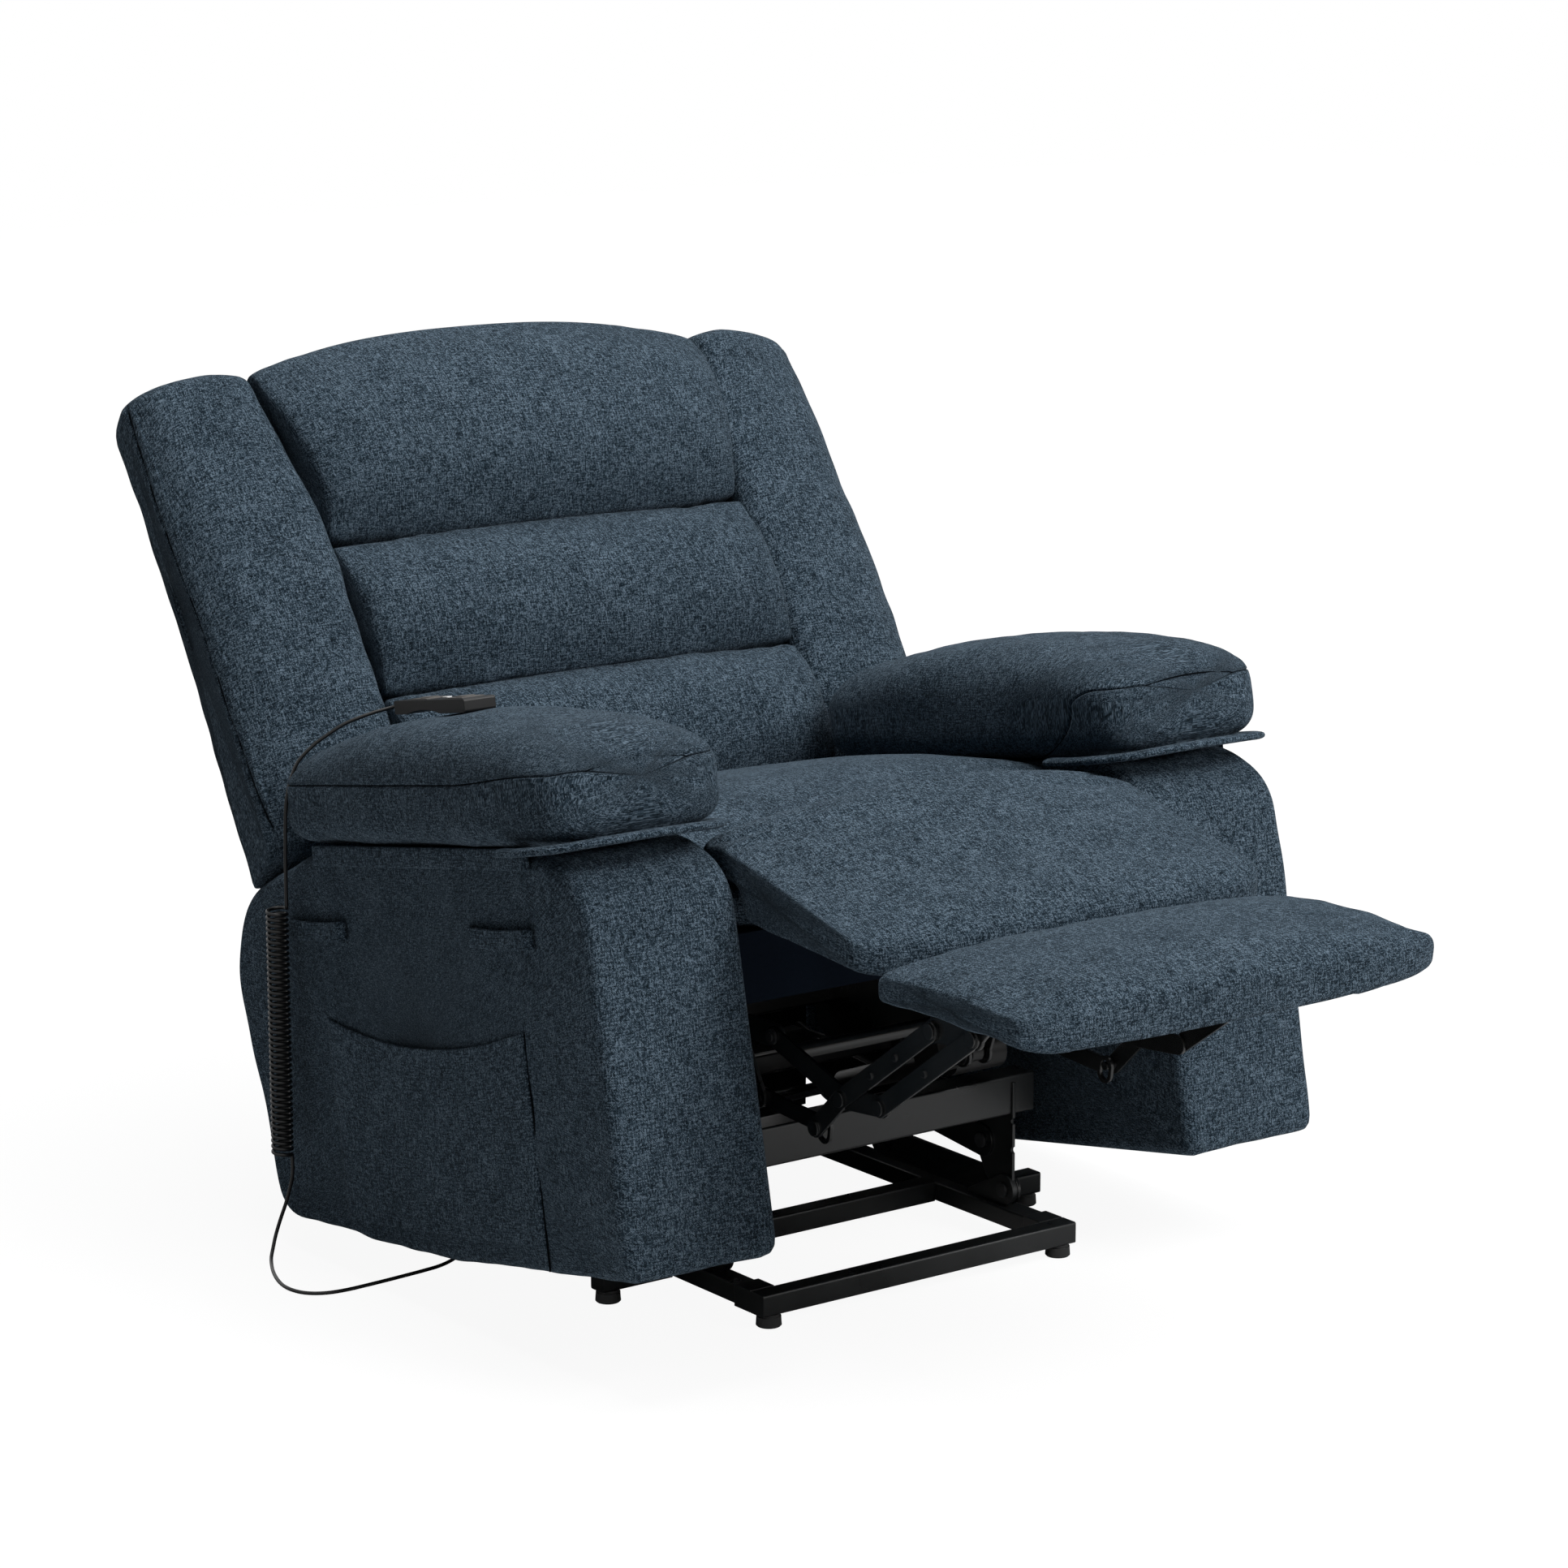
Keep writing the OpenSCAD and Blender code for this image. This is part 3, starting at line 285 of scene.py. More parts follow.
def end_cap(ring: np.ndarray, steps: int, axis: int, bulge: float) -> np.ndarray:
    """Copies of an end ring shrunk to its middle, bulging out along an axis as 1 - share^2.

    Args:
        ring: Array of shape (n, 3).
        steps: How many copies are made.
        axis: The axis that they bulge along.
        bulge: How far the middle stands out, in millimetres.

    Returns:
        Array of shape (steps, n, 3), from the widest copy to the narrowest.
    """
    share = np.linspace(1.0, 0.0, steps + 1)[1:]
    share[-1] = LAST_SHARE
    middle = ring.mean(0)
    cap = middle + (ring - middle) * share[:, None, None]
    cap[..., axis] += bulge * (1.0 - share**2)[:, None]
    return cap


def capped(rings: np.ndarray, bulge: tuple[float, float], steps: int = CAP_STEPS) -> np.ndarray:
    """Close the first and last ring of a tube that runs along x.

    Args:
        rings: Array of shape (m, n, 3) whose first axis runs along x.
        bulge: How far the low and the high end bulge out, in millimetres.
        steps: How many rings each cap gets.

    Returns:
        The rings with their caps.
    """
    first = end_cap(rings[0], steps, 0, -bulge[0])[::-1]
    return np.concatenate([first, rings, end_cap(rings[-1], steps, 0, bulge[1])])


def grid_normals(rings: np.ndarray) -> np.ndarray:
    """Unit normals of a tube of rings: the cross product of the run round each ring and the run along them."""
    around = np.roll(rings, -1, 1) - np.roll(rings, 1, 1)
    along = np.gradient(rings, axis=0)
    normal = np.cross(around, along)
    normal /= np.maximum(np.linalg.norm(normal, axis=-1, keepdims=True), 1e-9)
    middle = rings.mean(axis=(0, 1))
    outward = np.sign((normal * (rings - middle)).sum())
    return normal * outward


def pushed(rings: np.ndarray, distance: np.ndarray) -> np.ndarray:
    """Rings moved out along their normals by a distance at each point."""
    return rings + grid_normals(rings) * distance[..., None]


def closed_mesh(name: str, rings: np.ndarray) -> bpy.types.Object:
    """Mesh object from a tube of rings with a fan at each end, and a UV map in metres of cloth.

    U is the run along the rings and V the run round them, so a weave follows the surface.

    Args:
        name: The piece's name.
        rings: Array of shape (m, n, 3), in metres.

    Returns:
        The object, with its faces pointing outwards.
    """
    m, n = rings.shape[:2]
    points = np.concatenate([rings.reshape(-1, 3), rings[:1].mean(1), rings[-1:].mean(1)])
    j, i = np.meshgrid(np.arange(m - 1), np.arange(n), indexing="ij")
    k = (i + 1) % n
    quads = np.stack([j * n + i, j * n + k, (j + 1) * n + k, (j + 1) * n + i], -1).reshape(-1, 4)
    around = np.arange(n)
    first = np.stack([np.full(n, m * n), (around + 1) % n, around], -1)
    last = np.stack([np.full(n, m * n + 1), (m - 1) * n + around, (m - 1) * n + (around + 1) % n], -1)
    u = run_along(np.linalg.norm(np.diff(rings, axis=0), axis=-1).mean(1))
    girth = np.linalg.norm(np.roll(rings, -1, 1) - rings, axis=-1)
    v = np.concatenate([np.zeros((m, 1)), np.cumsum(girth, axis=1)], 1)
    v = np.broadcast_to(v[np.argmax(v[:, -1])], v.shape)
    corners = [np.stack([u[j + a], v[j + a, i + b]], -1) for a, b in ((0, 0), (0, 1), (1, 1), (1, 0))]
    uv = [np.stack(corners, 2).reshape(-1, 2)]
    for row in (0, -1):
        fan = [np.stack([np.full(n, u[row]), at], -1) for at in (v[row, :-1], v[row, 1:], v[row, :-1])]
        uv.append(np.stack(fan, 1).reshape(-1, 2))
    faces = quads.tolist() + first.tolist() + last.tolist()
    return mesh_object(name, points, faces, np.concatenate(uv))


def sheet_mesh(name: str, grid: np.ndarray) -> bpy.types.Object:
    """Open mesh object from a grid of points (m, n, 3) in metres, with a UV map in metres of cloth."""
    m, n = grid.shape[:2]
    j, i = np.meshgrid(np.arange(m - 1), np.arange(n - 1), indexing="ij")
    quads = np.stack([j * n + i, j * n + i + 1, (j + 1) * n + i + 1, (j + 1) * n + i], -1).reshape(-1, 4)
    u = run_along(np.linalg.norm(np.diff(grid, axis=0), axis=-1).mean(1))
    v = run_along(np.linalg.norm(np.diff(grid, axis=1), axis=-1).mean(0))
    uv = np.stack([np.repeat(u, n), np.tile(v, m)], -1)[quads.ravel()]
    return mesh_object(name, grid.reshape(-1, 3), quads.tolist(), uv)


def mesh_object(name: str, points: np.ndarray, faces: list, uv: np.ndarray) -> bpy.types.Object:
    """Object at the origin from points, faces and one UV pair per face corner, smooth and facing outwards.

    A closed shell's signed volume, the sum of its triangles' products, tells whether it is inside out.
    """
    mesh = bpy.data.meshes.new(name)
    mesh.from_pydata(points, [], faces)
    layer = mesh.uv_layers.new(name="cloth")
    layer.data.foreach_set("uv", uv.astype(np.float32).ravel())
    mesh.polygons.foreach_set("use_smooth", np.ones(len(faces), bool))
    mesh.calc_loop_triangles()
    index = np.empty(len(mesh.loop_triangles) * 3, np.int32)
    mesh.loop_triangles.foreach_get("vertices", index)
    a, b, c = np.moveaxis(points[index.reshape(-1, 3)] - points.mean(0), 1, 0)
    if (a * np.cross(b, c)).sum() < 0.0:
        mesh.flip_normals()
    mesh.update()
    return linked(name, mesh)


def linked(name: str, data: bpy.types.ID) -> bpy.types.Object:
    """New object of the given data, linked to the scene."""
    obj = bpy.data.objects.new(name, data)
    bpy.context.scene.collection.objects.link(obj)
    return obj


def thickened(obj: bpy.types.Object, thickness: float) -> None:
    """Give a sheet its cloth's thickness in millimetres, half of it to each side."""
    thick = obj.modifiers.new("cloth", "SOLIDIFY")
    thick.thickness = thickness * MM
    thick.offset = 0.0


def line_object(name: str, points: np.ndarray, radius: float) -> bpy.types.Object:
    """Round line through points in metres, as a curve of one open spline."""
    curve = bpy.data.curves.new(name, "CURVE")
    curve.dimensions = "3D"
    curve.bevel_depth = radius
    curve.bevel_resolution = 3
    curve.use_fill_caps = True
    run = curve.splines.new("POLY")
    run.points.add(len(points) - 1)
    run.points.foreach_set("co", np.hstack([points, np.ones((len(points), 1))]).astype(np.float32).ravel())
    run.use_smooth = True
    return linked(name, curve)


# ---------------------------------------------------------------- finishes


class Nodes:
    """Short way to write the nodes of a material or of the world."""

    def __init__(self, owner: bpy.types.ID) -> None:
        """Start the nodes of a material or a world from nothing."""
        owner.use_nodes = True
        self.owner = owner
        self.tree = owner.node_tree
        self.tree.nodes.clear()

    @classmethod
    def material(cls, name: str) -> "Nodes":
        """The nodes of a new material of that name."""
        return cls(bpy.data.materials.new(name))

    def add(self, kind: str, settings: Optional[dict] = None, **inputs: object) -> bpy.types.Node:
        """Add a node.

        Args:
            kind: The node's type without its ShaderNode prefix.
            settings: Its properties by name.
            inputs: Its sockets by name, with _ for a space: a value, or the socket to link from.

        Returns:
            The node.
        """
        node = self.tree.nodes.new("ShaderNode" + kind)
        for key, value in (settings or {}).items():
            setattr(node, key, value)
        for key, value in inputs.items():
            socket = node.inputs[int(key[1:])] if key[1:].isdigit() else node.inputs[key.replace("_", " ")]
            if isinstance(value, bpy.types.NodeSocket):
                self.tree.links.new(value, socket)
            else:
                socket.default_value = value
        return node

    def place(self) -> bpy.types.NodeSocket:
        """The place on the object, in metres."""
        return self.add("TexCoord").outputs["Object"]

    def math(self, operation: str, a: object, b: object = 0.0) -> bpy.types.NodeSocket:
        """The result of a Math node."""
        return self.add("Math", {"operation": operation}, i0=a, i1=b).outputs[0]

    def noise(self, place: object, scale: float, detail: float = 2.0, rough: float = 0.5) -> bpy.types.NodeSocket:
        """The value of a Noise Texture at a place."""
        return self.add("TexNoise", None, Vector=place, Scale=scale, Detail=detail, Roughness=rough).outputs[0]

    def stretched(self, place: object, scale: tuple[float, float, float]) -> bpy.types.NodeSocket:
        """A place with each axis scaled."""
        return self.add("Mapping", None, Vector=place, Scale=scale).outputs[0]

    def fitted(self, value: object, low: float, high: float, start: float = 0.0,
               end: float = 1.0) -> bpy.types.NodeSocket:
        """A value that runs from start to end, mapped to run from low to high and held between them."""
        return self.add("MapRange", None, Value=value, From_Min=start, From_Max=end,
                        To_Min=low, To_Max=high).outputs[0]

    def ramp(self, value: object, stops: Sequence[tuple[float, tuple[float, float, float]]]) -> bpy.types.NodeSocket:
        """The colour of a ramp at a value."""
        node = self.add("ValToRGB", None, Fac=value)
        marks = node.color_ramp.elements
        for k, (at, colour) in enumerate(stops):
            mark = marks[k] if k < 2 else marks.new(at)
            mark.position = at
            mark.color = (*colour, 1.0)
        return node.outputs[0]

    def relief(self, height: object, strength: float, distance: float, edge: float = 0.0) -> bpy.types.NodeSocket:
        """The normal of a bumpy surface, on edges rounded to the radius given; sizes are in metres."""
        bevel = {"Normal": self.add("Bevel", {"samples": 4}, Radius=edge).outputs[0]} if edge else {}
        return self.add("Bump", None, Height=height, Strength=strength, Distance=distance, **bevel).outputs[0]

    def skin(self, **inputs: object) -> bpy.types.Material:
        """Finish the material with a Principled shader of these inputs."""
        return self.out(self.add("BsdfPrincipled", None, **inputs))

    def out(self, shader: bpy.types.Node) -> bpy.types.ID:
        """Link the shader to the output, and give the material or the world."""
        kind = "OutputWorld" if isinstance(self.owner, bpy.types.World) else "OutputMaterial"
        self.tree.links.new(shader.outputs[0], self.add(kind).inputs[0])
        return self.owner


Colour = tuple[float, float, float]


@dataclass(frozen=True)
class Chenille:
    """Heathered upholstery: a plain weave of slubbed threads, each tuft of its own shade, on a soft mottle."""

    name: str
    ground: Colour = (0.0040, 0.0082, 0.0125)
    middle: Colour = (0.0345, 0.0560, 0.0780)
    light: Colour = (0.1650, 0.2250, 0.2850)
    on_cloth: bool = True
    pitch: float = 0.00275
    bump: float = 0.9
    across: float = 620.0
    along: float = 70.0
    gains: tuple = (0.74, 0.20, 1.30, 1.30, 0.28, 0.30)

    def make(self) -> bpy.types.Material:
        """The shade is the sum of tuft, weave, warp, weft, streak and mottle, each less its middle, times its gain.

        Tufts are white noise on a grid of half the weave's pitch, the weave is a checker on the same grid, and
        warp, weft and streak are noise drawn out along V or U.

        Returns:
            The material.
        """
        n = Nodes.material(self.name)
        coords = n.add("TexCoord")
        where = coords.outputs["Object"]
        place = coords.outputs["UV"] if self.on_cloth else where
        grid = 2.0 / self.pitch
        spot = n.add("VectorMath", {"operation": "FLOOR"}, i0=n.stretched(place, (grid, grid, grid))).outputs[0]
        parts = [
            n.add("TexWhiteNoise", {"noise_dimensions": "3D"}, Vector=spot).outputs[0],
            n.add("TexChecker", None, Vector=place, Scale=grid, Color1=(1, 1, 1, 1), Color2=(0, 0, 0, 1)).outputs[1],
            n.noise(n.stretched(place, (self.across, self.along, self.along)), 1.0, 2.0, 0.55),
            n.noise(n.stretched(place, (self.along, self.across, self.across)), 1.0, 2.0, 0.55),
            n.noise(n.stretched(place, (210.0, 24.0, 24.0)), 1.0, 2.0, 0.5),
            n.noise(where, 20.0, 2.0, 0.5),
        ]
        value = 0.5
        for part, gain in zip(parts, self.gains):
            value = n.math("ADD", value, n.math("MULTIPLY", n.math("SUBTRACT", part, 0.5), gain))
        colour = n.ramp(value, [(0.02, self.ground), (0.50, self.middle), (1.0, self.light)])
        return n.skin(
            Base_Color=colour, Roughness=0.94, Normal=n.relief(value, self.bump, 0.0009), Sheen_Weight=0.10,
            Sheen_Roughness=0.45, Sheen_Tint=(0.62, 0.74, 0.86, 1.0), Specular_IOR_Level=0.05,
        )


@dataclass(frozen=True)
class Lining:
    """Plain tight-woven lining cloth."""

    name: str
    ground: Colour
    light: Colour

    def make(self) -> bpy.types.Material:
        """A fine even weave, nearly flat in colour."""
        n = Nodes.material(self.name)
        where = n.place()
        weave = n.noise(where, 900.0, 2.0, 0.5)
        slow = n.noise(where, 12.0, 3.0, 0.5)
        value = n.math("ADD", n.math("MULTIPLY", weave, 0.6), n.math("MULTIPLY", slow, 0.4))
        colour = n.ramp(value, [(0.3, self.ground), (0.75, self.light)])
        normal = n.relief(weave, 0.3, 0.0005)
        return n.skin(Base_Color=colour, Roughness=0.85, Normal=normal, Specular_IOR_Level=0.08)


@dataclass(frozen=True)
class PowderCoat:
    """Satin powder coat on steel: fine orange peel, edges that catch the light, and faint rubbed patches."""

    name: str
    base: Colour = (0.0100, 0.0112, 0.0118)
    rubbed: Colour = (0.0200, 0.0218, 0.0226)
    rough_low: float = 0.30
    rough_high: float = 0.46
    edge: float = 0.0012

    def make(self) -> bpy.types.Material:
        """The colour and the gloss drift slowly; the peel is a fine noise in the normal."""
        n = Nodes.material(self.name)
        where = n.place()
        slow = n.noise(where, 9.0, 4.0, 0.6)
        peel = n.noise(where, 650.0, 1.0, 0.4)
        colour = n.ramp(slow, [(0.35, self.base), (0.72, self.rubbed)])
        gloss = n.fitted(slow, self.rough_low, self.rough_high, 0.3, 0.7)
        normal = n.relief(peel, 0.12, 0.0004, self.edge)
        return n.skin(Base_Color=colour, Roughness=gloss, Normal=normal, Specular_IOR_Level=0.5)


@dataclass(frozen=True)
class Plated:
    """Bright plated rod with fine marks drawn along it."""

    name: str
    base: Colour = (0.55, 0.57, 0.60)

    def make(self) -> bpy.types.Material:
        """Metal whose roughness follows a fine noise."""
        n = Nodes.material(self.name)
        where = n.place()
        marks = n.noise(n.stretched(where, (400.0, 40.0, 400.0)), 1.0, 2.0, 0.5)
        gloss = n.fitted(marks, 0.12, 0.30)
        colour = n.ramp(marks, [(0.2, tuple(0.85 * c for c in self.base)), (0.8, self.base)])
        return n.skin(Base_Color=colour, Metallic=1.0, Roughness=gloss)


@dataclass(frozen=True)
class Moulded:
    """Moulded plastic or rubber with a fine spark-eroded grain."""

    name: str
    base: Colour
    rough: float
    grain: float = 0.25
    edge: float = 0.0008
    shine: float = 0.5

    def make(self) -> bpy.types.Material:
        """The grain is a fine noise in the normal, and the colour lifts a little where it is worn."""
        n = Nodes.material(self.name)
        where = n.place()
        fine = n.noise(where, 1400.0, 2.0, 0.6)
        slow = n.noise(where, 30.0, 3.0, 0.5)
        colour = n.ramp(slow, [(0.3, self.base), (0.8, tuple(1.35 * c for c in self.base))])
        normal = n.relief(fine, self.grain, 0.0003, self.edge)
        gloss = n.fitted(slow, self.rough * 0.85, self.rough * 1.15)
        return n.skin(Base_Color=colour, Roughness=gloss, Normal=normal, Specular_IOR_Level=self.shine)


@dataclass(frozen=True)
class Plywood:
    """Bare plywood with long grain."""

    name: str

    def make(self) -> bpy.types.Material:
        """The grain is noise drawn out across the chair."""
        n = Nodes.material(self.name)
        where = n.place()
        grain = n.noise(n.stretched(where, (6.0, 120.0, 120.0)), 1.0, 4.0, 0.6)
        colour = n.ramp(grain, [(0.3, (0.22, 0.135, 0.07)), (0.7, (0.40, 0.27, 0.155))])
        return n.skin(Base_Color=colour, Roughness=0.7, Normal=n.relief(grain, 0.2, 0.0005))


class Wardrobe:
    """The chair's finishes, each made once."""

    def __init__(self) -> None:
        """Make every finish."""
        self.chenille = Chenille("chenille_navy").make()
        self.chenille_solid = Chenille("chenille_on_solid", on_cloth=False).make()
        self.lining = Lining("lining_navy", (0.0022, 0.0050, 0.0110), (0.0060, 0.0110, 0.0210)).make()
        # Near-black cloth: painted shade where the chair's inside lies in shadow.
        self.shade = Lining("painted_shade_black", (0.0014, 0.0015, 0.0017), (0.0034, 0.0036, 0.0040)).make()
        # Near-black, barely shiny tubes laid in seams: painted shade of the seams' creases.
        self.seam_shade = Moulded("painted_seam_shade", (0.0022, 0.0036, 0.0052), 0.9, shine=0.03).make()
        self.powder = PowderCoat("powder_black", rough_low=0.24, rough_high=0.38, edge=0.0015).make()
        self.powder_links = PowderCoat(
            "powder_links", (0.0070, 0.0080, 0.0085), (0.0150, 0.0165, 0.0172), 0.16, 0.28, 0.0016).make()
        self.zinc = PowderCoat("bolt_black", (0.018, 0.019, 0.020), (0.05, 0.052, 0.055), 0.25, 0.4, 0.0008).make()
        self.rod = Plated("rod_plated").make()
        self.rubber = Moulded("foot_rubber", (0.0085, 0.0088, 0.0092), 0.55, 0.4, 0.001).make()
        self.plastic = Moulded("handset_satin", (0.0085, 0.0085, 0.0088), 0.36, 0.30, 0.0009, 0.3).make()
        self.gloss = Moulded("key_grey", (0.095, 0.088, 0.082), 0.38, 0.10, 0.0008).make()
        self.mark = Moulded("mark_white", (0.80, 0.80, 0.80), 0.5, 0.05, 0.0002).make()
        self.sheath = Moulded("cord_sheath", (0.0050, 0.0052, 0.0056), 0.34, 0.10, 0.0002, 0.32).make()
        self.ply = Plywood("board_ply").make()


# ---------------------------------------------------------------- padded pieces


def dress(obj: bpy.types.Object, material: bpy.types.Material) -> None:
    """Give an object one material in place of what it had."""
    obj.data.materials.clear()
    obj.data.materials.append(material)


def settle(obj: bpy.types.Object, body: str, material: bpy.types.Material, nodes: Sequence[str] = ()) -> bpy.types.Object:
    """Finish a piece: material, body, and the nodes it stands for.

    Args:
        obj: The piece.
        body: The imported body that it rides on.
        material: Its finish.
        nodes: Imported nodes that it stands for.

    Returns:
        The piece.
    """
    dress(obj, material)
    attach(obj, body)
    if nodes:
        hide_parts(*nodes)
    log.info("%s: %s on %s", obj.name, obj.type.lower(), body)
    return obj


def upholster(node: str, rings: np.ndarray, side: int, space: Space, body: str, material: bpy.types.Material) -> None:
    """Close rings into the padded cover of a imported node.

    Args:
        node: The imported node; the piece is called after it.
        rings: Rings of the sitter's left piece, in millimetres.
        side: 1 for the sitter's left, -1 for the right, which is its mirror image.
        space: The frame that they are drawn in.
        body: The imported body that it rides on.
        material: Its finish.
    """
    mirrored = rings * np.array([float(side), 1.0, 1.0])
    settle(closed_mesh(node + "_cover", to_row(mirrored, space)), body, material, [node])


def sided(stem: str, side: int) -> str:
    """The name of the left or the right one of a pair."""
    return f"{stem}_left" if side > 0 else f"{stem}_right"


def inflate(obj: bpy.types.Object, pinned: np.ndarray, pressure: float, cap: float) -> None:
    """Let cloth fill out under pressure for 20 frames, held where it is sewn, then keep the shape it took.

    Args:
        obj: The piece, a closed mesh.
        pinned: Numbers of the vertices that stay where they are.
        pressure: The air pressure inside.
        cap: The furthest that a point may move, in metres.
    """
    group = obj.vertex_groups.new(name="sewn")
    group.add(pinned.tolist(), 1.0, "REPLACE")
    cloth = obj.modifiers.new("fill", "CLOTH")
    settings = {
        "quality": 5, "mass": 0.3, "vertex_group_mass": "sewn", "use_pressure": True,
        "uniform_pressure_force": pressure, "tension_stiffness": 12.0, "compression_stiffness": 12.0,
        "shear_stiffness": 4.0, "bending_stiffness": 0.4,
    }
    for key, value in settings.items():
        setattr(cloth.settings, key, value)
    cloth.settings.effector_weights.gravity = 0.0
    cloth.collision_settings.use_collision = False
    cloth.point_cache.frame_start = 1
    cloth.point_cache.frame_end = FILL_FRAMES
    rest = np.empty(len(obj.data.vertices) * 3, np.float32)
    obj.data.vertices.foreach_get("co", rest)
    for step in range(1, FILL_FRAMES + 1):
        bpy.context.scene.frame_set(step)
    shown = obj.evaluated_get(bpy.context.evaluated_depsgraph_get())
    moved = np.empty_like(rest)
    shown.data.vertices.foreach_get("co", moved)
    obj.modifiers.remove(cloth)
    bpy.context.scene.frame_set(1)
    shift = (moved - rest).reshape(-1, 3)
    far = np.linalg.norm(shift, axis=1, keepdims=True)
    shift *= np.minimum(1.0, cap / np.maximum(far, 1e-9))
    obj.data.vertices.foreach_set("co", (rest.reshape(-1, 3) + shift).astype(np.float32).ravel())
    obj.data.update()
    obj.vertex_groups.remove(group)
    log.info("%s filled out by up to %.1f mm", obj.name, 1000.0 * float(np.linalg.norm(shift, axis=1).max()))


def rise(v: np.ndarray) -> np.ndarray:
    """How much of the headrest's arch and spread is reached at height v along the back."""
    return np.clip((v - ARCH_FROM) / ARCH_RUN, 0.0, 1.0)


@dataclass
class Cushion:
    """A cushion: its side outline carried across the chair, drawn in at its ends and crowned in between.

    Its outline's corners are [a, b, radius] in its space, low and high are the box [a, b] that holds it, edge and
    square shape its ends, and crown swells its middle. It is drawn smaller by shrink all round, and then cloth
    under pressure fills it out, by cap metres at the most.
    """

    name: str
    body: str
    space: Space
    corners: Sequence[Sequence[float]]
    half: float
    edge: float
    crown: float
    low: tuple[float, float]
    high: tuple[float, float]
    seed: int
    square: float = 8.0
    tuck: float = 1.0
    arch: float = 0.0
    spread: float = 0.0
    bulge: float = 2.0
    uneven: float = 1.6
    fill: float = 0.7
    pressure: float = 4.0
    cap: float = 0.022
    shrink: float = 3.0
    outline_points: int = 168
    stations: int = 96
    puckers: Optional[Callable[[np.ndarray], np.ndarray]] = None

    def rings(self) -> np.ndarray:
        """Rings [x, a, b] in millimetres: the swollen outline at each station, held inside the cushion's box."""
        profile = pillow_profile(self.half, self.edge, self.crown, self.stations, self.square)
        loop = rounded(self.corners, self.outline_points)
        side = np.clip(swollen(loop, profile[:, 1] - self.shrink, self.tuck), self.low, self.high)
        share = (profile[:, 0] / self.half)[:, None]
        x = np.broadcast_to(profile[:, :1], side.shape[:2]) + self.spread * share * rise(side[..., 1])
        b = side[..., 1] + self.arch * (1.0 - np.abs(share) ** 2.6) * rise(side[..., 1])
        rings = capped(np.stack([x, side[..., 0], b], -1), (self.bulge, self.bulge))
        field_ = self.uneven * (0.6 * drift(rings, 150.0, self.seed) + 0.4 * drift(rings, 60.0, self.seed + 7))
        if self.puckers is not None:
            field_ = field_ + self.puckers(rings)
        free = ((rings[..., 1:] > np.array(self.low) + 1.0) & (rings[..., 1:] < np.array(self.high) - 1.0)).all(-1)
        return pushed(rings, field_ * free)

    def build(self, material: bpy.types.Material) -> bpy.types.Object:
        """Make the cushion, fill it out and finish it."""
        rings = self.rings()
        obj = closed_mesh(self.name + "_cover", to_row(rings, self.space))
        side = rings[..., 1:].reshape(-1, 2)
        at_box = (side < np.array(self.low) + 2.0) | (side > np.array(self.high) - 2.0)
        at_end = np.abs(rings[..., 0].reshape(-1)) > self.half - 2.0
        inflate(obj, np.flatnonzero(at_box.any(1) | at_end), self.pressure, self.cap)
        return settle(obj, self.body, material, [self.name])


def pulled(rings: np.ndarray, where: np.ndarray, reach: float, depth: float, pitch: float, seed: int) -> np.ndarray:
    """Pucker field of a seam: depth exp(-distance / reach) times waves of the given pitch across the chair."""
    wave = np.sin(2.0 * math.pi * rings[..., 0] / pitch + 2.2 * drift(rings, 90.0, seed))
    return depth * np.exp(-where / reach) * wave * (0.5 + 0.5 * drift(rings, 160.0, seed + 3))


def painted_seam_shade(name: str, line: np.ndarray, body: str, material: bpy.types.Material,
                radius: float = SEAM_SHADE_RADIUS) -> None:
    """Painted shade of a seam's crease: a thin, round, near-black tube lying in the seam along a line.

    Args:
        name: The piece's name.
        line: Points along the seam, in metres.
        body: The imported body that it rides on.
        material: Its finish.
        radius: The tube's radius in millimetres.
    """
    run = np.gradient(line, axis=0)
    run /= np.maximum(np.linalg.norm(run, axis=1, keepdims=True), 1e-9)
    across = np.cross(run, np.array([0.31, 0.22, 0.93]))
    across /= np.linalg.norm(across, axis=1, keepdims=True)
    up = np.cross(run, across)
    c, s = (k[None, :, None] for k in circle(8))
    rings = line[:, None] + radius * MM * (c * across[:, None] + s * up[:, None])
    settle(closed_mesh(name, rings), body, material)


